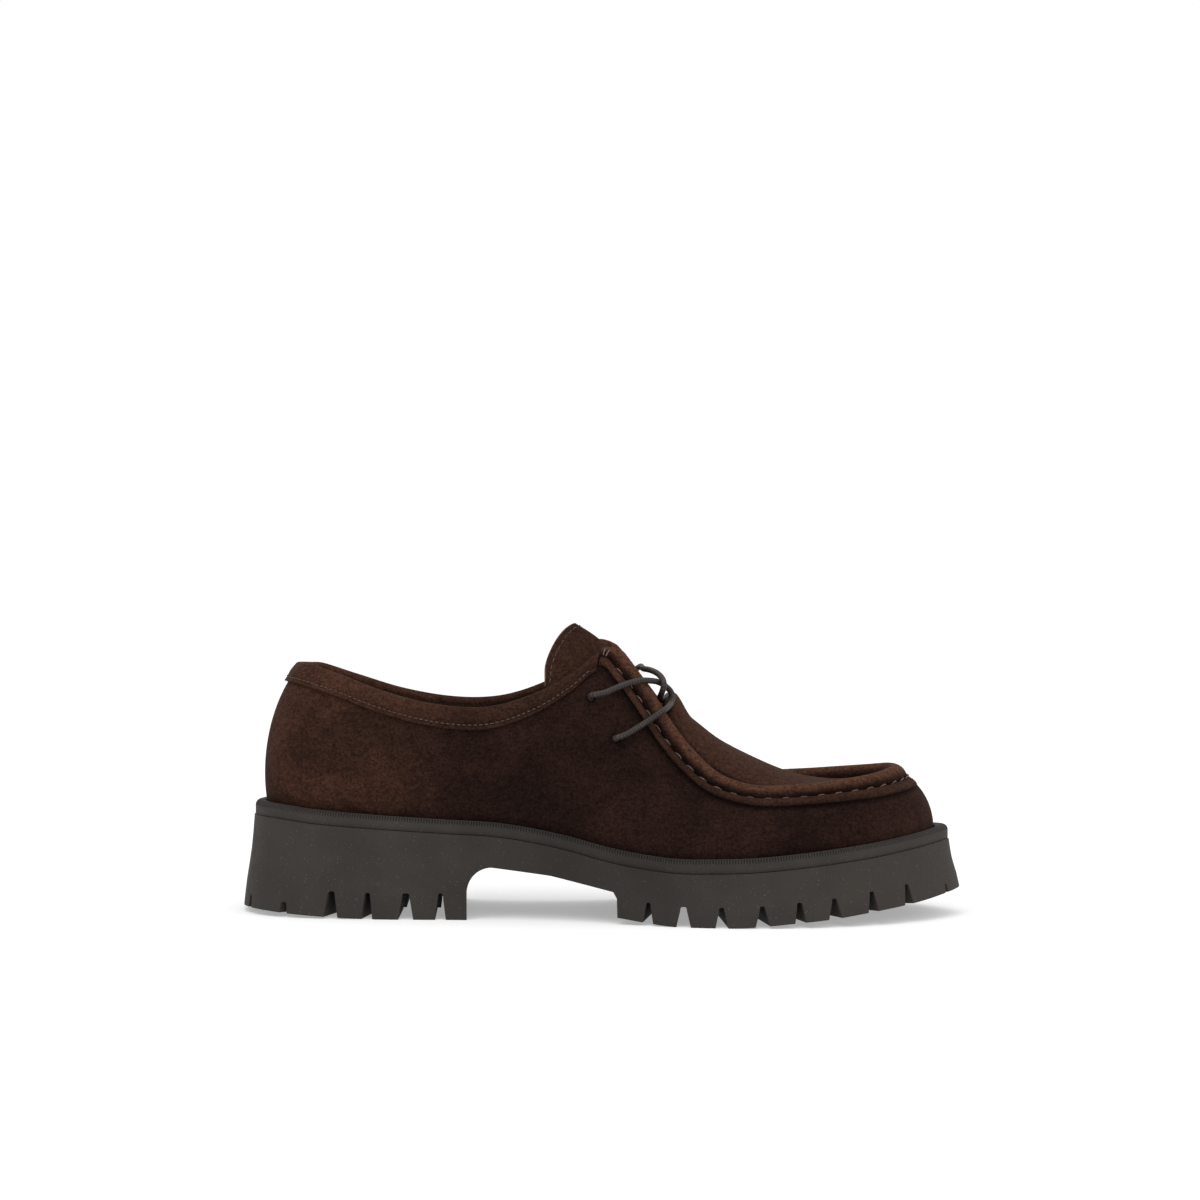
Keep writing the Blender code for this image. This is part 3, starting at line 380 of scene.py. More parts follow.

# Soft troughs (below zero) and ridges (above zero) in the wall
CREASES = [
    # side, along, share of the wall's height, run, width, lean in degrees, depth
    (-1, 0.700, 0.52, 0.022, 0.0060, 62, -0.00050),
    (-1, 0.665, 0.40, 0.020, 0.0055, 70, 0.00035),
    (-1, 0.632, 0.48, 0.024, 0.0060, 66, -0.00055),
    (-1, 0.590, 0.36, 0.022, 0.0065, 58, 0.00040),
    (-1, 0.540, 0.42, 0.026, 0.0070, 52, -0.00040),
    (-1, 0.475, 0.60, 0.030, 0.0080, 28, -0.00050),
    (-1, 0.400, 0.48, 0.032, 0.0090, 14, 0.00040),
    (-1, 0.300, 0.52, 0.030, 0.0080, 80, -0.00060),
    (-1, 0.235, 0.46, 0.024, 0.0070, 84, 0.00045),
    (-1, 0.140, 0.40, 0.022, 0.0090, 60, -0.00035),
    (-1, 0.850, 0.45, 0.020, 0.0080, 40, -0.00040),
    (1, 0.690, 0.50, 0.022, 0.0060, 62, -0.00050),
    (1, 0.640, 0.46, 0.024, 0.0060, 66, -0.00055),
    (1, 0.560, 0.42, 0.026, 0.0070, 54, 0.00040),
    (1, 0.470, 0.58, 0.030, 0.0080, 28, -0.00050),
    (1, 0.380, 0.46, 0.032, 0.0090, 14, 0.00040),
    (1, 0.290, 0.50, 0.030, 0.0080, 80, -0.00060),
    (1, 0.150, 0.42, 0.022, 0.0090, 60, -0.00035),
    (1, 0.860, 0.45, 0.020, 0.0080, 40, -0.00040),
]

# Side of the outsole: shares of its height and of its flare
SOLE_SIDE = [(0.0, 0.0), (0.15, 0.14), (0.30, 0.30), (0.46, 0.52), (0.62, 0.72), (0.80, 0.87), (1.0, 1.0)]

# Collar binding's outer and inner face: shares of its width and of its thickness
BINDING_OUTER = [
    (1.00, 0.35), (0.985, 0.66), (0.93, 0.84), (0.86, 0.88), (0.77, 0.74), (0.68, 0.90), (0.52, 1.04),
    (0.36, 1.08), (0.20, 1.06),
]
# Painted light across the outer face: lighter on its bulges and rounded lower edge, painted shade in the
# groove of the stitch line.
BINDING_OUTER_LIGHT = [0.16, 0.28, 0.18, 0.12, -0.10, 0.08, 0.13, 0.17, 0.20]
BINDING_INNER = [(0.30, 1.0), (0.50, 1.12), (0.70, 1.05), (0.90, 1.0), (1.00, 0.95)]

# Footbed's edge: distance in from its side, and share of its thickness
FOOTBED_EDGE = [(0.0, 0.0), (0.0, 0.62), (0.0004, 0.86), (0.0012, 1.0), (0.004, 0.98), (0.010, 0.90)]


def between(table, column, along):
    """A smooth value read from a table whose first column rises."""
    last = len(table) - 1
    k = 0
    while k < last - 1 and along > table[k + 1][0]:
        k += 1

    def slope(i):
        low, high = max(i - 1, 0), min(i + 1, last)
        before = table[i][column] - table[low][column]
        after = table[high][column] - table[i][column]
        if before * after <= 0.0 and 0 < i < last:
            return 0.0
        return (before + after) / (table[high][0] - table[low][0])

    step = table[k + 1][0] - table[k][0]
    t = min(max((along - table[k][0]) / step, 0.0), 1.0)
    a, b = table[k][column], table[k + 1][column]
    return (
        a * (1 + 2 * t) * (1 - t) ** 2
        + b * t * t * (3 - 2 * t)
        + step * slope(k) * t * (1 - t) ** 2
        - step * slope(k + 1) * t * t * (1 - t)
    )


def sole_top(x):
    """Height of the outsole's top at x from the back of the heel."""
    along = x / SOLE_LENGTH
    heel = (HEEL_STACK - BALL_STACK) * between(SOLE_TOP, 1, along)
    return BALL_STACK + heel + TOE_RISE * between(SOLE_TOP, 2, along)


def tread_height(x):
    """Height of the lugs' feet over the floor."""
    along = x / SOLE_LENGTH
    rise = HEEL_BEVEL * between(TREAD_RISE, 1, along) + TREAD_SPRING * between(TREAD_RISE, 2, along)
    return max(rise, 0.0)


def blend4(p0, p1, p2, p3, t):
    """A point of the smooth curve from p1 to p2."""
    return 0.5 * (
        2 * p1 + (p2 - p0) * t + (2 * p0 - 5 * p1 + 4 * p2 - p3) * t * t + (3 * p1 - p0 - 3 * p2 + p3) * t**3
    )


def spline(controls, place):
    """A point of the closed smooth curve through the controls, place counted in controls."""
    count = len(controls)
    k = math.floor(place)
    return blend4(*(Vector(controls[(k + i) % count]) for i in (-1, 0, 1, 2)), place - k)


def open_spline(controls, place):
    """A point of the open smooth curve through the controls."""
    last = len(controls) - 1
    k = min(max(math.floor(place), 0), last - 1)
    picked = (Vector(controls[min(max(k + i, 0), last)]) for i in (-1, 0, 1, 2))
    return blend4(*picked, place - k)


def loop_of(rows, outer, inner):
    """Controls round the shoe: heel, outer side, toe, inner side."""
    return [outer(r) for r in rows] + [inner(r) for r in reversed(rows[1:-1])]


def outward(points, i):
    """Level unit vector that points out of a ring seen from above."""
    run = points[(i + 1) % len(points)] - points[i - 1]
    return Vector((run.y, -run.x, 0)).normalized()


def tread_ring(steps):
    """The tread's edge in plan."""
    controls = loop_of(
        TREAD_EDGE,
        lambda r: (r[0] * SOLE_LENGTH, -r[1] * HALF_WIDTH, 0),
        lambda r: (r[0] * SOLE_LENGTH, r[2] * HALF_WIDTH, 0),
    )
    return [spline(controls, i / steps) for i in range(len(controls) * steps)]


def middle_of_tread():
    """Plan position of the middle of the tread's box, on the source's own coarser ring."""
    points = tread_ring(3)
    low = Vector((min(p.x for p in points), min(p.y for p in points), 0))
    high = Vector((max(p.x for p in points), max(p.y for p in points), 0))
    return (low + high) / 2


ORIGIN = middle_of_tread()


def soft_step(value, low, high):
    """0 below low, 1 above high, smooth between."""
    t = min(max((value - low) / (high - low), 0.0), 1.0)
    return t * t * (3 - 2 * t)


def arc_of(points):
    """Running length along points."""
    total = [0.0]
    for a, b in zip(points, points[1:]):
        total.append(total[-1] + (b - a).length)
    return total


def upper_controls():
    """The upper's table as controls round the shoe."""

    def control(row, side):
        outer = side < 0
        return (
            row[0] * SOLE_LENGTH,
            side * (row[1] if outer else row[2]) * HALF_WIDTH,
            (row[3] if outer else row[4]) * SOLE_LENGTH,
            side * (row[5] if outer else row[6]) * HALF_WIDTH,
            (row[7] if outer else row[8]) * THROAT_HEIGHT,
            row[9] * HALF_WIDTH,
            row[10] * HALF_WIDTH,
            row[11],
            row[12] * THROAT_HEIGHT,
        )

    return loop_of(UPPER, lambda r: control(r, -1), lambda r: control(r, 1))


UPPER_LOOP = upper_controls()


class Section:
    """The upper's wall at one place round the shoe, place counted in table rows."""

    def __init__(self, place):
        self.place = place
        values = spline(UPPER_LOOP, place)
        before, after = spline(UPPER_LOOP, place - 0.5), spline(UPPER_LOOP, place + 0.5)
        self.seat = Vector((values[0], values[1], sole_top(values[0]) + SEAM_GAP))
        self.edge = Vector((values[2], values[3], sole_top(values[2]) + values[4]))
        self.crown = sole_top(values[2]) + values[8]
        halfway = len(UPPER_LOOP) / 2
        past = max(min(place, len(UPPER_LOOP) - place) - TIP_ROW, 0.0) / (halfway - TIP_ROW)
        self.tip = past * past * (3 - 2 * past)
        run = Vector((after[0] - before[0], after[1] - before[1], 0))
        self.out = Vector((run.y, -run.x, 0)).normalized()
        self.edge -= self.out * TIP_DRAW * self.tip
        edge_run = Vector((
            after[2] - before[2],
            after[3] - before[3],
            sole_top(after[2]) + after[4] - sole_top(before[2]) - before[4],
        )).normalized()
        self.along = edge_run
        self.rise = (UP - edge_run * edge_run.z).normalized()
        self.inward = self.rise.cross(edge_run)
        height = self.edge.z - self.seat.z
        belly = self.seat + self.out * values[5] + UP * height * LIFT_OF_BELLY
        drawn = TIP_DRAW * self.tip * 0.5
        shoulder = self.edge + self.out * (values[6] + drawn) - UP * height * values[7]
        self.controls = (self.seat, belly, shoulder, self.edge)
        self.lengths = arc_of([self.at(i / WALL_SAMPLES) for i in range(WALL_SAMPLES + 1)])
        rows_past = min(place, len(UPPER_LOOP) - place) - THROAT_ROW
        self.roll = min(0.7 + 0.6 * rows_past, 1.0) if rows_past >= 0 else 0.0
        self.side = -1 if place < len(UPPER_LOOP) / 2 else 1
        wall_rise = (self.edge - shoulder).normalized()
        wall_inward = -self.normal_below(0.0)
        self.rise = wall_rise.lerp(self.rise, self.roll).normalized()
        self.inward = wall_inward.lerp(self.inward, self.roll).normalized()
        self.rise = (self.rise + self.inward * TIP_LEAN * self.tip).normalized()

    def at(self, t):
        """Point of the wall's outer curve, t from 0 at the seat to 1 at the edge."""
        a, b, c, d = self.controls
        s = 1 - t
        return a * s**3 + b * 3 * s * s * t + c * 3 * s * t * t + d * t**3

    @property
    def length(self):
        return self.lengths[-1]

    def share_at(self, distance):
        """t at a distance from the seat, measured along the wall."""
        distance = min(max(distance, 0.0), self.length)
        for k, (a, b) in enumerate(zip(self.lengths, self.lengths[1:])):
            if distance <= b:
                return (k + (distance - a) / (b - a)) / WALL_SAMPLES
        return 1.0

    def up(self, distance):
        """Point of the wall at a distance from the seat."""
        return self.at(self.share_at(distance))

    def down(self, distance):
        """Point of the wall at a distance below the edge."""
        return self.up(self.length - distance)

    def normal(self, distance):
        """Unit vector out of the wall at a distance from the seat."""
        t = self.share_at(distance)
        climb = self.at(min(t + 0.02, 1.0)) - self.at(max(t - 0.02, 0.0))
        level = Vector((-self.out.y, self.out.x, 0))
        return level.cross(climb).normalized()

    def normal_below(self, distance):
        """Unit vector out of the wall at a distance below the edge."""
        return self.normal(self.length - distance)


SECTIONS = [Section(i / COLUMNS_PER_ROW) for i in range(len(UPPER_LOOP) * COLUMNS_PER_ROW)]
COLUMNS = len(SECTIONS)
TOE_COLUMN = COLUMNS // 2
THROAT_COLUMN = THROAT_ROW * COLUMNS_PER_ROW
APRON_COLUMN = APRON_ROW * COLUMNS_PER_ROW


class Loft:
    """Collects points, faces, a value of painted light and shade for each point (a random tone on the
    fibres) and a material number for each face.
    """

    def __init__(self):
        self.points = []
        self.lights_and_tones = []
        self.faces = []
        self.slots = []
        self.slot = 0

    def row(self, points, light_and_tone=0.0):
        """Adds points and returns their numbers. Their painted light and shade is one number, or one for
        each point.
        """
        first = len(self.points)
        self.points += [Vector(p) for p in points]
        self.lights_and_tones += list(light_and_tone) if hasattr(light_and_tone, "__len__") else [light_and_tone] * len(points)
        return list(range(first, first + len(points)))

    def band(self, low, high, closed=True):
        """Quads between two rows of equal length."""
        count = len(low)
        for i in range(count if closed else count - 1):
            j = (i + 1) % count
            self.quad(low[i], low[j], high[j], high[i])

    def bands(self, rows, closed=True):
        """Quads between each row and the next."""
        for low, high in zip(rows, rows[1:]):
            self.band(low, high, closed)

    def cap(self, *rings):
        """One face on each ring."""
        self.faces += [list(ring) for ring in rings]
        self.slots += [self.slot] * len(rings)

    def quad(self, a, b, c, d):
        """One face, with repeated corners left out."""
        corners = [p for n, p in enumerate((a, b, c, d)) if p not in (a, b, c, d)[:n]]
        if len(corners) > 2:
            self.faces.append(corners)
            self.slots.append(self.slot)

    def ladder(self, loop):
        """Closes a ring with rungs from its outer to its inner side."""
        for k in range(len(loop) // 2):
            self.quad(loop[k], loop[k + 1], loop[-k - 1], loop[-k] if k else loop[0])

    def tube(self, points, radius, sides=8, light_and_tone=0.0):
        """A closed tube along points, its radius one number or one for each point."""
        count = len(points)
        radii = radius if hasattr(radius, "__len__") else [radius] * count
        rows = []
        normal = None
        for k, p in enumerate(points):
            run = (points[min(k + 1, count - 1)] - points[max(k - 1, 0)]).normalized()
            if normal is None:
                normal = run.orthogonal().normalized()
            normal = (normal - run * normal.dot(run)).normalized()
            side = run.cross(normal)
            rows.append(self.row([
                p + (normal * math.cos(a) + side * math.sin(a)) * radii[k]
                for a in (2 * math.pi * i / sides for i in range(sides))
            ], light_and_tone))
        self.bands(rows)
        self.cap(rows[0], rows[-1])
        return rows

    def make(self, name, finishes, sharp=None):
        """The object, with smooth faces and its points moved to the row frame."""
        mesh = bpy.data.meshes.new(name)
        mesh.from_pydata([tuple(p - ORIGIN) for p in self.points], [], self.faces)
        # Painted light and shade of each point: above zero a painted highlight, below zero painted shade; on
        # the fibres a random tone.
        lights_and_tones = mesh.attributes.new("light_and_tone", "FLOAT", "POINT")
        lights_and_tones.data.foreach_set("value", self.lights_and_tones)
        mesh.polygons.foreach_set("material_index", self.slots)
        bm = bmesh.new()
        bm.from_mesh(mesh)
        bmesh.ops.recalc_face_normals(bm, faces=bm.faces)
        bm.to_mesh(mesh)
        bm.free()
        for finish in finishes:
            mesh.materials.append(finish)
        mesh.shade_smooth()
        if sharp:
            mesh.set_sharp_from_angle(angle=math.radians(sharp))
        made = bpy.data.objects.new(name, mesh)
        bpy.context.scene.collection.objects.link(made)
        return made


def cut_by(target, cutters):
    """Cuts holes, applies the cut to the mesh and removes the cutters."""
    group = bpy.data.collections.new("cutters")
    for cutter in cutters:
        bpy.context.scene.collection.objects.unlink(cutter)
        group.objects.link(cutter)
    bpy.context.scene.collection.children.link(group)
    cut = target.modifiers.new("cut", "BOOLEAN")
    cut.operation = "DIFFERENCE"
    cut.operand_type = "COLLECTION"
    cut.collection = group
    cut.solver = "EXACT"
    bpy.context.view_layer.update()
    mesh = bpy.data.meshes.new_from_object(target.evaluated_get(bpy.context.evaluated_depsgraph_get()))
    target.modifiers.clear()
    target.data = mesh
    for cutter in cutters:
        bpy.data.objects.remove(cutter)
    bpy.data.collections.remove(group)


def dress(piece, replaced=None):
    """The piece rides the shoe's one body, in place of a node of the model."""
    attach(piece, "root")
    if replaced:
        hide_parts(replaced)


class Finish:
    """A material whose nodes are made and linked by short calls."""

    def __init__(self, name):
        self.made = bpy.data.materials.new(name)
        self.made.use_nodes = True
        self.tree = self.made.node_tree
        self.coords = self.node("ShaderNodeTexCoord").outputs["Object"]

    def plug(self, target, inputs):
        """Sets a node's sockets to numbers or links them to other nodes."""
        for key, value in inputs.items():
            if isinstance(value, bpy.types.NodeSocket):
                self.tree.links.new(value, target.inputs[key])
            else:
                target.inputs[key].default_value = value

    def node(self, kind, inputs=None, **settings):
        """A node with its settings and its sockets."""
        made = self.tree.nodes.new(kind)
        for key, value in settings.items():
            setattr(made, key, value)
        self.plug(made, inputs or {})
        return made

    def attribute(self, name):
        """A value kept at each point of the mesh."""
        return self.node("ShaderNodeAttribute", attribute_name=name).outputs["Fac"]

    def along(self):
        """Place along the shoe, from heel to toe."""
        return self.node("ShaderNodeSeparateXYZ", {0: self.coords}).outputs[0]

    def noise(self, scale, detail=3.0, roughness=0.55, distortion=0.0, stretch=None):
        """A noise value from 0 to 1, stretched along the axes if asked."""
        coords = self.coords
        if stretch:
            coords = self.node("ShaderNodeMapping", {"Vector": coords, "Scale": stretch}).outputs[0]
        return self.node("ShaderNodeTexNoise", {
            "Vector": coords, "Scale": scale, "Detail": detail, "Roughness": roughness,
            "Distortion": distortion,
        }).outputs[0]

    def cells(self, scale):
        """Distance to the middle of the nearest of many small cells."""
        return self.node("ShaderNodeTexVoronoi", {"Vector": self.coords, "Scale": scale}).outputs["Distance"]

    def ramp(self, value, low, high, to_low=0.0, to_high=1.0):
        """A value mapped smoothly from one range to another."""
        return self.node("ShaderNodeMapRange", {
            "Value": value, "From Min": low, "From Max": high, "To Min": to_low, "To Max": to_high,
        }, interpolation_type="SMOOTHSTEP").outputs[0]

    def math(self, kind, a, b=0.0):
        """One operation on two values."""
        return self.node("ShaderNodeMath", {0: a, 1: b}, operation=kind).outputs[0]

    def times(self, a, b):
        return self.math("MULTIPLY", a, b)

    def blend(self, first, *terms):
        """A first value plus others, each with its weight."""
        for value, weight in terms:
            first = self.math("ADD", first, self.times(value, weight))
        return first

    def mix(self, factor, a, b, blend="MIX"):
        """Two colours mixed, each a socket or three numbers."""
        a, b = (c if isinstance(c, bpy.types.NodeSocket) else (*c, 1) for c in (a, b))
        return self.node(
            "ShaderNodeMix", {0: factor, 6: a, 7: b}, data_type="RGBA", blend_type=blend
        ).outputs[2]

    def shaded(self, colour, shade):
        """A colour times a grey."""
        grey = self.node("ShaderNodeCombineColor", {0: shade, 1: shade, 2: shade}).outputs[0]
        return self.mix(1.0, colour, grey, "MULTIPLY")

    def bump(self, height, strength, distance, **more):
        """A normal bent by a height."""
        inputs = {"Height": height, "Strength": strength, "Distance": distance, **more}
        return self.node("ShaderNodeBump", inputs).outputs[0]

    def done(self, colour, roughness, more):
        """The material, once its shader has its colour, roughness and other sockets."""
        inputs = {"Base Color": colour, "Roughness": roughness, **more}
        self.plug(self.tree.nodes["Principled BSDF"], inputs)
        return self.made


def suede_material(name, dark, light, ends, crest):
    """Napped suede: darker in the middle of the shoe, lighter at its ends, with a painted highlight on the
    rolls' crests and painted shade in valleys and dents.
    """
    m = Finish(name)
    x, light_and_tone = m.along(), m.attribute("light_and_tone")
    lit_ends = m.math("MAXIMUM", m.ramp(x, -0.040, -0.105), m.ramp(x, 0.080, 0.125, 0.0, 0.36))
    broad = m.ramp(m.noise(26.0, distortion=0.6), 0.36, 0.66)
    patches = m.ramp(m.noise(85.0, 4.0, 0.60, 0.8), 0.40, 0.68)
    mottle = m.blend(m.times(broad, 0.78), (patches, 0.22))
    colour = m.mix(mottle, dark, light)
    colour = m.mix(m.times(lit_ends, m.ramp(mottle, 0.0, 1.0, 0.45, 1.0)), colour, ends)
    # Painted highlight: the crest's colour mixed in where the point's value is above zero.
    colour = m.mix(m.node("ShaderNodeClamp", {0: light_and_tone}).outputs[0], colour, crest)
    grain = m.noise(1500.0, 3.0, 0.65)
    streak = m.noise(620.0, 4.0, 0.70, 0.9, stretch=(0.5, 1.0, 1.0))
    nap = m.noise(1000.0, 3.0, 0.62, 0.5)
    fleck = m.ramp(m.noise(900.0, 2.0, 0.5), 0.62, 0.74)
    texture = m.blend(m.times(grain, 0.30), (streak, 0.35), (nap, 0.35))
    # Painted shade: darker where the point's value is below zero, in the seam's valley, under the rolls, at
    # the wall's foot and round the eyelets.
    deep = m.ramp(light_and_tone, -1.0, 0.0, 0.25, 1.0)
    colour = m.shaded(colour, m.times(m.ramp(texture, 0.36, 0.66, 0.42, 1.62), deep))
    # The crest's colour, also that of the painted highlight, gives the nap's light flecks.
    colour = m.mix(m.times(fleck, 0.12), colour, crest)
    return m.done(colour, 0.95, {
        "Normal": m.bump(m.blend(grain, (streak, 1.4)), 0.55, 0.00035),
        "Specular IOR Level": 0.05, "Sheen Weight": 0.04, "Sheen Roughness": 0.45,
        "Sheen Tint": (0.55, 0.32, 0.22, 1),
    })


def rubber_material():
    """Matt dark rubber with tiny light specks and soft edges, darkened by painted shade in the rand's
    grooves and seams and under the arch.
    """
    m = Finish("rubber_matt")
    x = m.along()
    fine = m.noise(1400.0, 3.0, 0.6)
    cloud = m.ramp(m.noise(60.0, 3.0, 0.5), 0.3, 0.7)
    colour = m.mix(cloud, (0.0282, 0.0242, 0.0212), (0.0352, 0.0298, 0.0258))
    colour = m.mix(m.ramp(x, 0.085, 0.135), colour, (0.0370, 0.0307, 0.0270))
    rare = m.ramp(m.noise(420.0, 2.0, 0.5), 0.48, 0.62)
    speck = m.times(m.ramp(m.cells(1000.0), 0.22, 0.10), rare)
    colour = m.mix(m.times(speck, 0.42), colour, (0.170, 0.155, 0.140))
    # Painted shade where the point's value is below zero: the rand's rib grooves, its seam with the sole and
    # its top at the upper.
    deep = m.ramp(m.attribute("light_and_tone"), -1.0, 0.0, 0.30, 1.0)
    # Painted shade: darker towards the middle of the shoe's length, under the arch.
    waist = m.ramp(m.math("ABSOLUTE", x), 0.010, 0.070, 0.72, 1.0)
    colour = m.shaded(colour, m.times(deep, waist))
    rounded = m.node("ShaderNodeBevel", {"Radius": 0.00045}, samples=6).outputs[0]
    return m.done(colour, m.ramp(fine, 0.3, 0.7, 0.62, 0.78), {
        "Normal": m.bump(fine, 0.22, 0.0002, Normal=rounded), "Specular IOR Level": 0.14,
    })


def lining_material():
    """Smooth brown leather with fine pores."""
    m = Finish("lining_leather")
    cloud = m.ramp(m.noise(45.0), 0.3, 0.7)
    wrinkle = m.noise(260.0, 4.0, 0.6)
    colour = m.mix(cloud, (0.040, 0.021, 0.013), (0.066, 0.036, 0.022))
    return m.done(colour, m.ramp(wrinkle, 0.3, 0.7, 0.50, 0.66), {
        "Normal": m.bump(m.blend(wrinkle, (m.cells(1100.0), 0.5)), 0.35, 0.0002),
    })


def lace_material():
    """Waxed round cord, braided: the pattern follows the cord's own length and turn."""
    m = Finish("waxed_cord_braid")
    run, turn = m.attribute("run"), m.attribute("turn")
    braid = m.times(*(m.math("SINE", m.math(kind, run, turn)) for kind in ("ADD", "SUBTRACT")))
    wax = m.ramp(m.noise(240.0, 3.0, 0.5), 0.52, 0.75, 0.0, 0.5)
    colour = m.mix(m.ramp(braid, -0.7, 0.7), (0.0085, 0.0062, 0.0054), (0.0385, 0.0284, 0.0248))
    colour = m.mix(wax, colour, (0.058, 0.046, 0.041))
    return m.done(colour, 0.60, {
        "Normal": m.bump(m.blend(braid, (m.noise(2600.0, 2.0, 0.6), 0.5)), 0.45, 0.00010),
        "Specular IOR Level": 0.25, "Coat Weight": 0.05, "Coat Roughness": 0.45,
    })


def thread_material(name, dark, light):
    """Twisted thread."""
    m = Finish(name)
    twist = m.noise(1600.0, 3.0, 0.7)
    age = m.ramp(m.noise(110.0, 2.0, 0.5), 0.5, 0.8, 0.0, 0.5)
    colour = m.mix(age, m.mix(m.ramp(twist, 0.3, 0.7), dark, light), dark)
    return m.done(colour, 0.75, {"Normal": m.bump(twist, 0.5, 0.0001)})


def floor_material():
    """White floor that glows a little to read white, less so round the shoe as painted shade."""
    m = Finish("white_floor")
    away = m.node("ShaderNodeVectorMath", {0: m.coords}, operation="LENGTH").outputs["Value"]
    return m.done(m.mix(m.noise(3.0), (0.60, 0.60, 0.60), (0.63, 0.63, 0.63)), 1.0, {
        "Specular IOR Level": 0.0, "Emission Color": (1, 1, 1, 1),
        "Emission Strength": m.ramp(away, 0.16, 0.60, FLOOR_GLOW_NEAR, FLOOR_GLOW),
    })


# The crest colours below are those of the painted highlight on the rolls, and of the nap's light flecks.
SUEDE = suede_material(
    "suede_nap", dark=(0.0100, 0.0046, 0.0037), light=(0.0192, 0.0086, 0.0063),
    ends=(0.0415, 0.0180, 0.0112), crest=(0.0800, 0.0360, 0.0215),
)
CUT_EDGE = suede_material(
    "suede_cut_edge", dark=(0.085, 0.042, 0.028), light=(0.130, 0.068, 0.047),
    ends=(0.130, 0.068, 0.047), crest=(0.145, 0.076, 0.054),
)
RUBBER = rubber_material()
LINING = lining_material()
CORD = lace_material()
MOC_YARN = thread_material("moc_thread", (0.060, 0.029, 0.023), (0.160, 0.084, 0.066))
SEWING = thread_material("sewing_thread", (0.034, 0.018, 0.013), (0.082, 0.047, 0.034))
FUZZ = suede_material(
    "suede_fuzz", dark=(0.024, 0.011, 0.0075), light=(0.045, 0.021, 0.0135),
    ends=(0.050, 0.024, 0.0155), crest=(0.066, 0.032, 0.021),
)


def camera():
    """The camera of the photograph: level, a little in front of the shoe's middle."""
    data = bpy.data.cameras.new("camera")
    data.sensor_width = SENSOR
    data.lens = SENSOR * FOCAL_SHARE
    made = bpy.data.objects.new("camera", data)
    right = Vector((math.cos(CAMERA_TURN), math.sin(CAMERA_TURN), 0))
    back = Vector((math.sin(CAMERA_TURN), -math.cos(CAMERA_TURN), 0))
    made.location = back * CAMERA_DISTANCE + right * CAMERA_ASIDE + UP * CAMERA_HEIGHT
    made.rotation_euler = (math.radians(90), 0, CAMERA_TURN)
    bpy.context.scene.collection.objects.link(made)
    bpy.context.scene.camera = made


def lace_half(name, table):
    """One half of the lace, hooked round the other."""
    route = []
    for along, across, up in table:
        x = along * SOLE_LENGTH
        route.append(Vector((x, across * HALF_WIDTH, sole_top(x) + up * THROAT_HEIGHT)))
    points = [open_spline(route, k / LACE_STEPS) for k in range((len(route) - 1) * LACE_STEPS + 1)]
    made = Loft()
    rows = made.tube(points, LACE_DIAMETER / 2, LACE_SIDES)
    tube = made.make(name, [CORD], sharp=60)
    runs = arc_of(points)
    run_values, turn_values = [0.0] * len(made.points), [0.0] * len(made.points)
    for k, row in enumerate(rows):
        for i, number in enumerate(row):
            run_values[number] = runs[k] / BRAID_PITCH * 2 * math.pi
            turn_values[number] = 2 * 2 * math.pi * abs(2 * i / LACE_SIDES - 1)
    for key, values in (("run", run_values), ("turn", turn_values)):
        tube.data.attributes.new(key, "FLOAT", "POINT").data.foreach_set("value", values)
    dress(tube, "lace")


def columns_between(first, last):
    """Column numbers round the ring, from first to last, past the start if first is negative."""
    return [c % COLUMNS for c in range(first, last + 1)]


# Distance round the shoe along the seam, from one throat corner to the other
SEAM_COLUMNS = columns_between(THROAT_COLUMN, COLUMNS - THROAT_COLUMN)
SEAM_RUN = dict(zip(SEAM_COLUMNS, arc_of([SECTIONS[c].edge for c in SEAM_COLUMNS])))


def pucker(column):
    """How far the seam is pulled in at a column: 1 at a stitch hole, 0 between."""
    run = SEAM_RUN.get(column)
    if run is None:
        return 0.0
    return 0.5 + 0.5 * math.cos(2 * math.pi * (run / MOC_PITCH))


def relief(section, share):
    """Soft troughs and ridges of the wall, in metres outwards, at a share of its height."""
    total = 0.0
    x = section.seat.x + (section.edge.x - section.seat.x) * share
    z = share * section.length
    for side, along, height, run, width, lean, depth in CREASES:
        if side != section.side:
            continue
        dx, dz = x - along * SOLE_LENGTH, z - height * section.length
        turn = math.radians(lean)
        length = dx * math.cos(turn) + dz * math.sin(turn)
        across = -dx * math.sin(turn) + dz * math.cos(turn)
        reach = (length / run) ** 2 + (across / width) ** 2
        if reach < 9:
            total += depth * math.exp(-reach)
    fade = soft_step(share, 0.05, 0.25) * soft_step(1 - share, 0.10, 0.30)
    return total * fade


def eyelet_places():
    """Middle and outward normal of each eyelet."""
    found = []
    for row, below in EYELETS:
        for place in (row, len(UPPER_LOOP) - row):
            s = Section(place)
            found.append((s.down(below), s.normal_below(below)))
    return found


def dent_at(point, middles):
    """How deep a point lies in the dent round an eyelet, from 0 to 1."""
    return max(math.exp(-((point - middle).length / EYELET_DENT_REACH) ** 2) for middle, _ in middles)


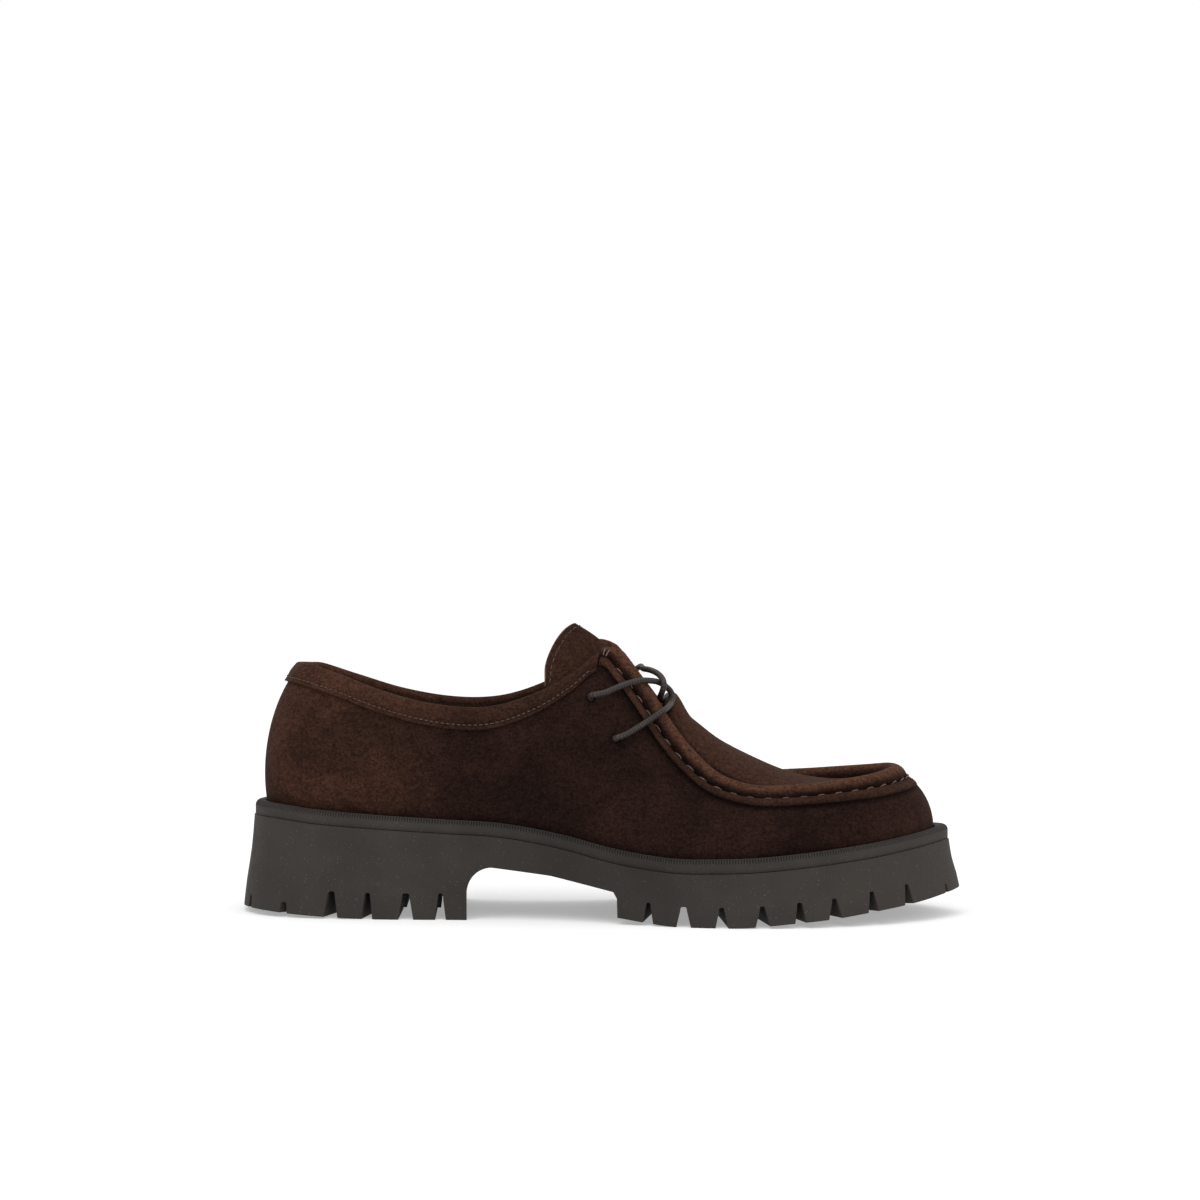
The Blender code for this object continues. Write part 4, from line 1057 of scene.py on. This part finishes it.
def fine_outer_rings():
    """Rings of the upper's outer face, from its foot to the inner side of the apron's roll, with their
    painted light and shade."""
    rings = []
    middles = eyelet_places()
    for k in range(BODY_RINGS + 1):
        share = k / BODY_RINGS
        loop, light_and_tone = [], []
        for s in SECTIONS:
            distance = (s.length - VAMP_ROLL_WIDTH * 1.12) * share
            place = s.up(distance)
            dent = dent_at(place, middles)
            loop.append(place + s.normal(distance) * (relief(s, distance / s.length) - EYELET_DENT * dent))
            # Painted shade at the wall's foot by the rand, under the vamp roll and in the dents round the
            # eyelets.
            foot = -0.55 * (1 - soft_step(distance, 0.004, 0.011))
            under_roll = -0.75 * s.roll * soft_step(share, 0.90, 1.0)
            light_and_tone.append(foot + under_roll - 1.3 * dent)
        rings.append((loop, light_and_tone))
    for distance, height in VAMP_ROLL:
        near_seam = soft_step(1 - distance, 0.3, 0.9)
        below = distance * VAMP_ROLL_WIDTH
        loop, light_and_tone = [], []
        for c, s in enumerate(SECTIONS):
            swell = height * VAMP_ROLL_HEIGHT * s.roll * (1 - TIP_FLATTENING * s.tip)
            swell -= pucker(c) * VAMP_PUCKER * near_seam * s.roll
            loop.append(s.down(below) + s.normal_below(below) * swell)
            # Painted highlight on the vamp roll, stronger near the throat, and painted shade at its low
            # edges.
            lit = 0.20 + 0.25 * (1 - soft_step(min(s.place, len(UPPER_LOOP) - s.place), 10.0, 13.0))
            light_and_tone.append(s.roll * (lit * height - (0.9 if height < 0.2 else 0.0)))
        rings.append((loop, light_and_tone))
    # Painted shade in the seam's valley between the two rolls.
    rings.append(([s.edge for s in SECTIONS], [-0.9 * s.roll for s in SECTIONS]))
    for across, height in APRON_ROLL:
        # Painted highlight on the apron roll's upper part and painted shade at its low edges.
        lit = 0.75 * soft_step(height, 0.25, 0.85) - 0.8 * soft_step(0.25 - height, 0.0, 0.2)
        loop, light_and_tone = [], []
        for c, s in enumerate(SECTIONS):
            width = WALL + (APRON_ROLL_WIDTH - WALL) * s.roll
            tall = WALL * RIM_ROUNDING + (APRON_ROLL_HEIGHT - WALL * RIM_ROUNDING) * s.roll
            lean = max(across, -0.03 * s.roll) * width
            pinch = pucker(c) * APRON_PUCKER * s.roll * soft_step(0.45 - across, 0.0, 0.45)
            loop.append(s.edge + s.inward * (lean + pinch) + s.rise * tall * height)
            light_and_tone.append(s.roll * lit)
        rings.append((loop, light_and_tone))
    return rings


OUTER_RINGS = fine_outer_rings()
TOP_RING = OUTER_RINGS[-1][0]


def fine_inner_rings(depth):
    """Rings at a depth in the wall, from its foot to under the rolls."""
    rings = []
    top = BINDING_WIDTH * 1.2
    lining = [(1 - k / LINING_RINGS, 1.0) for k in range(LINING_RINGS + 1)]
    lining += [(0.0, 0.80), (0.0, 0.60), (0.0, 0.40), (0.0, 0.22)]
    for body, near_edge in lining:
        loop = []
        for s in SECTIONS:
            below = top * near_edge + (s.length - top) * body
            inner = s.down(below) - s.normal_below(below) * depth
            if body == 1.0:
                inner.z = s.seat.z
            elif near_edge == 1.0:
                inner += s.normal_below(below) * relief(s, 1 - below / s.length)
            loop.append(inner)
        rings.append((loop, 0.0))
    last = []
    for s in SECTIONS:
        width = WALL + (APRON_ROLL_WIDTH * 0.8 - WALL) * s.roll
        last.append(s.edge + s.inward * width * depth / WALL - s.rise * depth * (0.1 + 0.9 * s.roll))
    rings.append((last, 0.0))
    return rings


def apron_swell(v):
    """Share of the crown's height at v, from 0 in the middle to 1 at the side."""
    return (1 - min(abs(v), 1.0) ** 2.4) ** 0.75


def apron_rung(ring_points, column, drop):
    """The apron's cross line between the two sides of a ring, crowned in the middle and kept
    at least a drop under the line of the top ring."""
    start, end = ring_points[column], ring_points[-column]
    top_start, top_end = TOP_RING[column], TOP_RING[-column]
    base, top_base = (start.z + end.z) / 2, (top_start.z + top_end.z) / 2
    crown = SECTIONS[column].crown
    share = min((top_end - top_start).length / (end - start).length, 1.0)
    points = []
    for k in range(1, APRON_CUTS):
        v = 2 * k / APRON_CUTS - 1
        under_top = min((1 - abs(v)) / (1 - share), 1.0) if share < 1.0 else 1.0
        height = top_base + (crown - top_base) * apron_swell(v / share) - drop
        line = start.lerp(end, k / APRON_CUTS)
        line.z += (height - base) * under_top if drop else (crown - base) * apron_swell(v)
        points.append(line)
    return points


def close_apron(made, loop, ring_points, drop, edge_shade):
    """Adds the apron between the sides of a ring. Returns its back line."""
    rungs = []
    # Painted highlight over the apron's top, and painted shade at its edges beside the roll.
    lights_and_tones = [
        0.34 + (edge_shade - 0.18) * soft_step(abs(2 * k / APRON_CUTS - 1), 0.82, 1.0)
        for k in range(1, APRON_CUTS)
    ]
    for column in range(APRON_COLUMN, TOE_COLUMN):
        middle = made.row(apron_rung(ring_points, column, drop), lights_and_tones)
        rungs.append([loop[column], *middle, loop[-column]])
    made.bands(rungs, closed=False)
    tip = loop[TOE_COLUMN]
    for a, b in zip(rungs[-1], rungs[-1][1:]):
        made.quad(a, b, tip, tip)
    return rungs[0]


def shell(name, outer, inner, drops, finish):
    """A closed wall between two stacks of rings, with its apron under the suede's top ring."""
    made = Loft()
    outer_loops = [made.row(r, t) for r, t in outer]
    inner_loops = [made.row(r, t) for r, t in inner]
    made.bands(outer_loops)
    made.bands(inner_loops)
    made.band(outer_loops[0], inner_loops[0])
    outer_back = close_apron(made, outer_loops[-1], outer[-1][0], drops[0], -0.5)
    inner_back = close_apron(made, inner_loops[-1], inner[-1][0], drops[1], 0.0)
    made.band(outer_back, inner_back, closed=False)
    free = columns_between(-APRON_COLUMN, APRON_COLUMN)
    made.band([outer_loops[-1][c] for c in free], [inner_loops[-1][c] for c in free], closed=False)
    return made.make(name, [finish])


def eyelet_cutters():
    """Round punches through the wall, one for each eyelet."""
    cutters = []
    for point, normal in eyelet_places():
        made = Loft()
        made.tube([point + normal * WALL * k for k in (-2.5, 0, 2.5)], EYELET_DIAMETER / 2, 24)
        cutters.append(made.make("eyelet_cutter", []))
    return cutters


def upper():
    """The suede and its lining, as two walls that lie on each other."""
    suede_depth, lining_depth = WALL * SUEDE_SHARE, WALL * LINING_SHARE
    suede = shell(
        "upper_suede", OUTER_RINGS, fine_inner_rings(suede_depth), (0.0, suede_depth * APRON_DROP), SUEDE
    )
    lining = shell(
        "upper_lining", fine_inner_rings(lining_depth), fine_inner_rings(WALL),
        (lining_depth * APRON_DROP, WALL * APRON_DROP), LINING,
    )
    for piece, slot in ((suede, "suede"), (lining, "lining")):
        cut_by(piece, eyelet_cutters())
        dress(piece, "upper")


def binding_profile(s):
    """Points of the collar binding's cross-section, and their painted light and shade."""
    skin, thick = SKIN_GAP, SKIN_GAP + BINDING_THICKNESS
    rim = s.edge + s.rise * WALL * RIM_ROUNDING

    def off_wall(share, height):
        below = BINDING_WIDTH * share
        return s.down(below) + s.normal_below(below) * height

    outer = [off_wall(share, skin + BINDING_THICKNESS * swell) for share, swell in BINDING_OUTER]
    over = []
    for degrees in range(170, 9, -20):
        turn = math.radians(degrees)
        over.append(
            rim + s.inward * (WALL * 0.5 + math.cos(turn) * (WALL * 0.5 + thick))
            + s.rise * math.sin(turn) * thick * 1.12
        )
    inner = [off_wall(share, -(WALL + skin + BINDING_THICKNESS * swell)) for share, swell in BINDING_INNER]
    back = [off_wall(share, -(WALL + skin)) for share in (1.00, 0.70, 0.40)]
    back += [rim + s.inward * (WALL + skin) + s.rise * skin, rim - s.inward * skin + s.rise * skin]
    back += [off_wall(share, skin) for share in (0.40, 0.70, 1.00)]
    # Painted highlight on the outer face's bulges, over the fold and on the inner face; painted shade on the
    # faces that lie against the wall.
    lights_and_tones = BINDING_OUTER_LIGHT + [0.24] * len(over) + [0.15] * len(inner) + [-0.3] * len(back)
    return outer + over + inner + back, lights_and_tones


def collar_binding():
    """The folded strip over the collar, from one throat corner round the heel to the other."""
    made = Loft()
    columns = columns_between(1 - THROAT_COLUMN, THROAT_COLUMN - 1)
    loops = [made.row(*binding_profile(SECTIONS[c])) for c in columns]
    made.bands(loops)
    made.cap(loops[0], loops[-1])
    dress(made.make("collar_band", [SUEDE]), "collar_binding")


def tongue_at(row, v):
    """Point and outward normal of the tongue; v from -1 outer to 1 inner edge."""
    slope = math.radians(TONGUE_SLOPE_DEGREES)
    down = Vector((-math.sin(slope), 0, -math.cos(slope)))
    along, up, half, bow = open_spline([Vector(r) for r in TONGUE_RIDGE], row)
    x = along * SOLE_LENGTH
    ridge = Vector((x, 0, sole_top(x) + up * THROAT_HEIGHT))
    rounding = TONGUE_END_ROUNDING * soft_step(row, 5.0, 6.0)
    y = v * half * HALF_WIDTH
    millimetres = abs(y) * 1000
    drop = bow * millimetres**TONGUE_BOW / 1000
    steep = bow * TONGUE_BOW * millimetres ** (TONGUE_BOW - 1)
    lean = math.copysign(math.atan(steep), v) if millimetres else 0.0
    normal = Vector((0, math.sin(lean), 0)) - down * math.cos(lean)
    corner = TONGUE_CORNER * soft_step(abs(v), 0.72, 1.0) * soft_step(row, 5.0, 6.0)
    point = ridge + Vector((corner - rounding * 4 * abs(v) * (1 - abs(v)), y, 0)) + down * drop
    normal.normalize()
    return point - normal * TONGUE_SINK * (1 - soft_step(row, 0.6, 2.0)), normal


def tongue():
    """The tongue: a bowed sheet of suede with pale cut edges."""
    made = Loft()
    last = len(TONGUE_RIDGE) - 1
    rows = [last * k / TONGUE_ROWS for k in range(TONGUE_ROWS)] + [last - TONGUE_BORDER, last]
    faces = []
    # Painted highlight on the tongue's upper face; none on its under face.
    for depth, light_and_tone in ((0.0, 0.22), (TONGUE_THICKNESS, 0.0)):
        lines = []
        for row in rows:
            places = [tongue_at(row, 2 * k / TONGUE_CUTS - 1) for k in range(TONGUE_CUTS + 1)]
            lines.append(made.row([point - normal * depth for point, normal in places], light_and_tone))
        faces.append(lines)
    for lines in faces:
        made.bands(lines[:-1], closed=False)
    made.slot = 1
    for lines in faces:
        made.bands(lines[-2:], closed=False)
    top, under = faces
    for end in (0, -1):
        made.band(top[end], under[end], closed=False)
    for side in (0, -1):
        made.band([r[side] for r in top], [r[side] for r in under], closed=False)
    dress(made.make("tongue_suede", [SUEDE, CUT_EDGE], sharp=50), "tongue")


def insole():
    """The footbed, slightly dished, with a rounded edge."""
    made = Loft()
    loops = []
    for inset, rise in FOOTBED_EDGE:
        loop = []
        for s in SECTIONS[::4]:
            p = s.seat - s.out * (WALL + SKIN_GAP + SEAM_GAP + inset)
            loop.append(Vector((p.x, p.y, sole_top(p.x) + SEAM_GAP + INSOLE_THICKNESS * rise)))
        loops.append(made.row(loop))
    made.bands(loops)
    made.ladder(loops[0])
    made.ladder(loops[-1])
    dress(made.make("footbed", [LINING], sharp=50), "insole")


def offset_ring(points, distance):
    """A plan ring drawn in by a distance."""
    return [p - outward(points, i) * distance for i, p in enumerate(points)]


def met_points(ring):
    """For each section, the point of a plan ring that its outward line meets."""
    a = np.array([(p.x, p.y) for p in ring])
    b = np.roll(a, -1, axis=0)
    found = []
    for s in SECTIONS:
        start, out = np.array(s.seat[:2]), np.array(s.out[:2])
        step = b - a
        cross = out[0] * step[:, 1] - out[1] * step[:, 0]
        gap = a - start
        along_ray = (gap[:, 0] * step[:, 1] - gap[:, 1] * step[:, 0]) / cross
        along_edge = (gap[:, 0] * out[1] - gap[:, 1] * out[0]) / cross
        hits = np.nonzero((along_edge >= -1e-9) & (along_edge <= 1 + 1e-9) & (along_ray > -0.002))[0]
        ray = min(along_ray[h] for h in hits)
        found.append(Vector((start[0] + out[0] * ray, start[1] + out[1] * ray, 0)))
    return found


def rand_profile(foot, out, walls, groove):
    """Points of the rand's cross-section and their painted shade, cut in where groove is 1."""
    base = sole_top(foot.x) + SEAM_GAP
    walls[0].z = sole_top(walls[0].x) + SEAM_GAP
    # Painted shade in the rib grooves.
    rib, light_and_tone = RIB_DEPTH * groove, -0.75 * groove
    shoulder = foot - out * RAND_ROUNDING
    crest = shoulder.lerp(Vector((walls[2].x, walls[2].y, 0)), 0.45)
    profile = [
        # place in plan, height over the sole, painted shade
        # Painted shade at the foot, where the rand meets the sole.
        (foot - out * 0.00012, -RAND_SINK, -0.9),
        (foot, 0.00016 - RAND_SINK, -0.4),
        (foot, RAND_HEIGHT * 0.30, 0.0),
        (foot, RAND_HEIGHT - RAND_ROUNDING * 1.9, 0.0),
        (foot - out * (0.00012 + rib), RAND_HEIGHT - RAND_ROUNDING * 1.35, light_and_tone),
        (foot - out * (RAND_ROUNDING * 0.45 + rib), RAND_HEIGHT - RAND_ROUNDING * 0.75 - rib, light_and_tone),
        (shoulder - out * rib, RAND_HEIGHT - RAND_ROUNDING * 0.3 - rib, light_and_tone),
        (shoulder.lerp(crest, 0.6), RAND_HEIGHT - RAND_ROUNDING * 0.06 - rib, light_and_tone),
        (crest, RAND_HEIGHT, 0.0),
    ]
    points = [Vector((p.x, p.y, base + up)) for p, up, _ in profile] + walls[::-1]
    # Painted shade at the top of the back, where the rand meets the upper.
    return points, [shade for _, _, shade in profile] + [-0.5, 0.0, 0.0]


def rand():
    """The strip between upper and outsole edge, its sloping top ribbed."""
    foot_ring = met_points(offset_ring(tread_ring(SOLE_COLUMNS_PER_ROW), SIDE_FLARE + RAND_SETBACK))
    total = arc_of(foot_ring + foot_ring[:1])
    cuts = round(total[-1] / RIB_PITCH) * RIB_CUTS
    profiles = []
    column = 0
    for k in range(cuts):
        run = total[-1] * k / cuts
        while column < COLUMNS - 1 and total[column + 1] < run:
            column += 1
        t = (run - total[column]) / (total[column + 1] - total[column])
        after = (column + 1) % COLUMNS
        a, b = SECTIONS[column], SECTIONS[after]
        foot = foot_ring[column].lerp(foot_ring[after], t)
        out = a.out.lerp(b.out, t).normalized()
        walls = [a.up(h).lerp(b.up(h), t) + out * SKIN_GAP for h in (0.0, RAND_HEIGHT * 0.5, RAND_HEIGHT)]
        profiles.append(rand_profile(foot, out, walls, 0 if k % RIB_CUTS < RIB_CUTS / 2 else 1))
    made = Loft()
    all_points, all_shades = zip(*profiles)
    rows = [made.row(loop, lights_and_tones) for loop, lights_and_tones in zip(zip(*all_points), zip(*all_shades))]
    made.bands(rows + rows[:1])
    dress(made.make("rand_ribbed", [RUBBER], sharp=60), "rand")


def edge_point(edge, x, side):
    """Point of the tread's edge at x; side is -1 outer, 1 inner."""
    half = len(edge) // 2
    chain = edge[: half + 1] if side < 0 else [edge[0]] + edge[: half - 1 : -1]
    for a, b in zip(chain, chain[1:]):
        if a.x <= x <= b.x:
            return a.lerp(b, (x - a.x) / (b.x - a.x))
    return chain[-1]


def prism(loops):
    """A cutter from rows of points, closed at both ends."""
    made = Loft()
    rows = [made.row(loop) for loop in loops]
    made.bands(rows)
    made.cap(rows[0], rows[-1])
    return made.make("sole_cutter", [])


def arch_cutter():
    """Cutter for the arch, askew under the waist, with a rounded heel breast."""
    outline = [(Vector((HEEL_BREAST, 0, -ARCH_HEIGHT)), 1.0)]
    corner = Vector((HEEL_BREAST + BREAST_RADIUS, 0, ARCH_HEIGHT - BREAST_RADIUS))
    for degrees in range(0, 91, 6):
        turn = math.radians(degrees)
        outline.append((corner + BREAST_RADIUS * Vector((-math.cos(turn), 0, math.sin(turn))), 1.0))
    front = BREAST_RADIUS * 0.15
    for x, z in ((-front, ARCH_FRONT_HEIGHT), (0, ARCH_FRONT_HEIGHT * 0.8), (front, -ARCH_HEIGHT)):
        outline.append((Vector((BALL_BREAST + x, 0, z)), 0.0))
    outer_side = HALF_WIDTH * TREAD_EDGE[6][1]
    skew = math.tan(math.radians(BREAST_SKEW_DEGREES))
    sides = []
    for y in (-TREAD_WIDTH, TREAD_WIDTH):
        shift = -(y + outer_side) * skew
        sides.append([p + Vector((shift * share, y, 0)) for p, share in outline])
    return prism(sides)


def groove_cutter(edge, side, along, turn, share, foot, crown, reach):
    """Cutter for the groove between two lugs, on one side of the tread."""
    x = along * SOLE_LENGTH
    depth = share * (HEEL_LUG_DEPTH if x < HEEL_BREAST else BALL_LUG_DEPTH)
    start = edge_point(edge, x, side)
    turned = math.radians(turn)
    inward = Vector((math.sin(turned), -side * math.cos(turned), 0))
    across = Vector((math.cos(turned), side * math.sin(turned), 0))
    base = tread_height(x)
    half = [(foot * 1.4, -depth), (crown, depth * 0.80), (crown * 0.92, depth * 0.92), (crown * 0.6, depth)]
    outline = [(-width, height) for width, height in half] + half[::-1]
    return prism([
        [
            start + inward * reach * HALF_WIDTH * run + across * width * depth / 2 + UP * (base + height)
            for width, height in outline
        ]
        for run in (-0.5, 1.0)
    ])


def channel_cutter(edge, first, last):
    """Cutter for a lengthwise channel along the middle of the tread."""
    outline = ((-1.3, -1), (-0.7, 1), (0.7, 1), (1.3, -1))
    loops = []
    for k in range(13):
        x = SOLE_LENGTH * (first + (last - first) * k / 12)
        middle = (edge_point(edge, x, -1) + edge_point(edge, x, 1)) / 2
        base = tread_height(x)
        loops.append([
            middle + Vector((0, side * CHANNEL_WIDTH / 2, base + height * CHANNEL_DEPTH))
            for side, height in outline
        ])
    return prism(loops)


def outsole():
    """The one-piece sole with flared sides, arch, breasts and lugs, cut finer than the solid."""
    edge = tread_ring(SOLE_COLUMNS_PER_ROW)
    made = Loft()
    loops = []
    for share, inset in SOLE_SIDE:
        loop = []
        for i, p in enumerate(edge):
            q = p - outward(edge, i) * SIDE_FLARE * inset
            low, high = tread_height(q.x), sole_top(q.x) - TOP_BEVEL
            loop.append(Vector((q.x, q.y, low + (high - low) * share)))
        loops.append(made.row(loop))
    rim = offset_ring(edge, SIDE_FLARE + TOP_BEVEL)
    loops.append(made.row([Vector((q.x, q.y, sole_top(q.x))) for q in rim]))
    made.bands(loops)
    made.ladder(loops[0])
    made.ladder(loops[-1])
    piece = made.make("sole_unit", [RUBBER])
    cutters = [arch_cutter()]
    for outer, inner, outer_turn, inner_turn, *sizes in GROOVES:
        cutters.append(groove_cutter(edge, -1, outer, outer_turn, *sizes))
        cutters.append(groove_cutter(edge, 1, inner, inner_turn, *sizes))
    cutters += [channel_cutter(edge, first, last) for first, last in CHANNELS]
    cut_by(piece, cutters)
    piece.data.shade_smooth()
    piece.data.set_sharp_from_angle(angle=math.radians(35))
    dress(piece, "outsole")


def reader(*lines):
    """Whole length of the first line, and a function that reads all lines at a running length."""
    runs = arc_of(lines[0])

    def at(run):
        k = min(max(int(np.searchsorted(runs, run)) - 1, 0), len(runs) - 2)
        t = (run - runs[k]) / (runs[k + 1] - runs[k])
        return k, [line[k].lerp(line[k + 1], t) for line in lines]

    return runs[-1], at


def seam_stitches():
    """Thick stitches in the valley between the two rolls, and the tacks at the throat's corners."""
    made = Loft()
    total, at = reader([SECTIONS[c].edge for c in SEAM_COLUMNS])
    shares = [j / 5 for j in range(-5, 6)]
    radii = [MOC_THREAD * (1 - 0.25 * abs(share) ** 4) for share in shares]
    for n in range(1, int(total / MOC_PITCH) - 1):
        points = []
        for share in shares:
            k, (point,) = at((n + 0.5) * MOC_PITCH + share * MOC_STITCH / 2)
            s = SECTIONS[SEAM_COLUMNS[k]]
            proud = (s.rise * 0.55 - s.inward * 0.65).normalized()
            lift = MOC_LIFT - MOC_DIP * abs(share) ** 3
            points.append(point + proud * lift + s.inward * 0.00030 * share)
        made.tube(points, radii)
    for place in (*TACK_ROWS, *(len(UPPER_LOOP) - row for row in TACK_ROWS)):
        s = Section(place)
        made.tube([
            s.edge + s.inward * (0.0026 * t - 0.0016)
            + s.rise * (0.0002 + 0.0026 * math.sin(math.pi * t)) + s.along * 0.0006 * (t - 0.5)
            for t in (j / 8 for j in range(9))
        ], MOC_THREAD)
    dress(made.make("moc_stitches", [MOC_YARN]))


def row_of_stitches(made, points, normals, pitch, length):
    """Small stitches along a line on a surface."""
    total, at = reader(points, normals)
    for n in range(int(total / pitch) - 1):
        path = []
        for j in range(-3, 4):
            _, (point, normal) = at((n + 0.75) * pitch + j / 3 * length / 2)
            lift = COLLAR_THREAD * (0.75 - 1.9 * abs(j / 3) ** 3)
            path.append(point + normal.normalized() * lift)
        made.tube(path, COLLAR_THREAD, 6)


def small_stitches():
    """The sewn lines of the collar binding and of the tongue."""
    made = Loft()
    points, normals = [], []
    below = BINDING_WIDTH - COLLAR_STITCH_RISE
    for c in columns_between(2 - THROAT_COLUMN, THROAT_COLUMN - 2):
        normals.append(SECTIONS[c].normal_below(below))
        points.append(SECTIONS[c].down(below) + normals[-1] * (SKIN_GAP + BINDING_THICKNESS * 0.80))
    row_of_stitches(made, points, normals, COLLAR_PITCH, COLLAR_STITCH)
    points, normals = [], []
    run = TONGUE_STITCH_END - TONGUE_STITCH_START
    path = [(TONGUE_STITCH_START + run * k / 30, -1) for k in range(31)]
    path += [(TONGUE_STITCH_END, -1 + 2 * k / 40) for k in range(1, 40)]
    path += [(TONGUE_STITCH_END - run * k / 30, 1) for k in range(31)]
    for row, side in path:
        half = open_spline([Vector(r) for r in TONGUE_RIDGE], row)[2] * HALF_WIDTH
        most = 1 - TONGUE_MARGIN / half
        point, normal = tongue_at(row, max(-most, min(most, side)))
        points.append(point)
        normals.append(normal)
    row_of_stitches(made, points, normals, TONGUE_PITCH, TONGUE_STITCH)
    dress(made.make("sewn_lines", [SEWING]))


def fuzz():
    """Loose fibres on the rolls, on the binding's raw edge and on the collar's fold."""
    chance = random.Random(7)
    made = Loft()

    def stray():
        return chance.uniform(-FIBRE_STRAY, FIBRE_STRAY)

    def fibre(root, lean, amount):
        """A thin spike from its root, along a lean that chance bends by up to an amount."""
        bend = Vector([chance.uniform(-amount, amount) for _ in range(3)])
        direction = (lean + bend).normalized()
        tip = root + direction * chance.uniform(*FIBRE_LENGTH)
        side = direction.orthogonal().normalized() * FIBRE_WIDTH
        other = direction.cross(side).normalized() * FIBRE_WIDTH
        row = made.row([
            root + side, root - side * 0.5 + other * 0.87, root - side * 0.5 - other * 0.87, tip,
        ], chance.uniform(0.0, 1.0))
        for corners in ((0, 1, 2), (0, 3, 1), (1, 3, 2), (2, 3, 0)):
            made.cap([row[i] for i in corners])

    for _ in range(ROLL_FIBRES):
        s = SECTIONS[SEAM_COLUMNS[chance.randrange(len(SEAM_COLUMNS))]]
        if chance.random() < 0.60:
            turn = math.radians(chance.uniform(-10, 190))
            width = WALL + (APRON_ROLL_WIDTH - WALL) * s.roll
            tall = APRON_ROLL_HEIGHT * s.roll
            out = s.rise * math.sin(turn) - s.inward * math.cos(turn)
            root = s.edge + s.inward * width * (0.5 - 0.49 * math.cos(turn))
            root += s.rise * tall * (0.50 + 0.47 * math.sin(turn))
        else:
            below = VAMP_ROLL_WIDTH * chance.uniform(0.25, 1.0)
            out = s.normal_below(below)
            root = s.down(below) + out * VAMP_ROLL_HEIGHT * s.roll * (1 - TIP_FLATTENING * s.tip) * 0.88
        fibre(root + s.along * stray(), out, 0.75)
    for _ in range(COLLAR_FIBRES):
        s = SECTIONS[chance.randrange(2 - THROAT_COLUMN, THROAT_COLUMN - 1) % COLUMNS]
        low, high = (0.96, 1.02) if chance.random() < 0.6 else (0.0, 0.7)
        below = BINDING_WIDTH * chance.uniform(low, high)
        out = s.normal_below(below)
        root = s.down(below) + out * (SKIN_GAP + BINDING_THICKNESS * 0.60) + s.along * stray()
        fibre(root, out * 0.8 - s.rise * 0.5, 0.7)
    dress(made.make("suede_fibres", [FUZZ]))


def studio():
    """A white floor, a white world and three soft lights."""
    scene = bpy.context.scene
    scene.view_settings.view_transform = "Standard"
    scene.view_settings.look = "None"
    world = bpy.data.worlds.new("studio")
    world.use_nodes = True
    world.node_tree.nodes["Background"].inputs[0].default_value = (1, 1, 1, 1)
    world.node_tree.nodes["Background"].inputs[1].default_value = 1.0
    scene.world = world
    mesh = bpy.data.meshes.new("floor")
    corners = [(x * FLOOR_REACH, y * FLOOR_REACH, 0) for x, y in ((-1, -1), (1, -1), (1, 1), (-1, 1))]
    mesh.from_pydata(corners, [], [(0, 1, 2, 3)])
    mesh.materials.append(floor_material())
    floor = bpy.data.objects.new("floor", mesh)
    scene.collection.objects.link(floor)
    for name, place, size, power in LIGHTS:
        light = bpy.data.lights.new(name, "AREA")
        light.size = size
        light.energy = power
        lamp = bpy.data.objects.new(name, light)
        lamp.location = place
        lamp.rotation_euler = (LIGHT_AIM - Vector(place)).to_track_quat("-Z", "Y").to_euler()
        scene.collection.objects.link(lamp)


camera()
lace_half("lace_outer", LACE_OUTER)
lace_half("lace_inner", LACE_INNER)
upper()
collar_binding()
tongue()
insole()
rand()
outsole()
seam_stitches()
small_stitches()
fuzz()
studio()
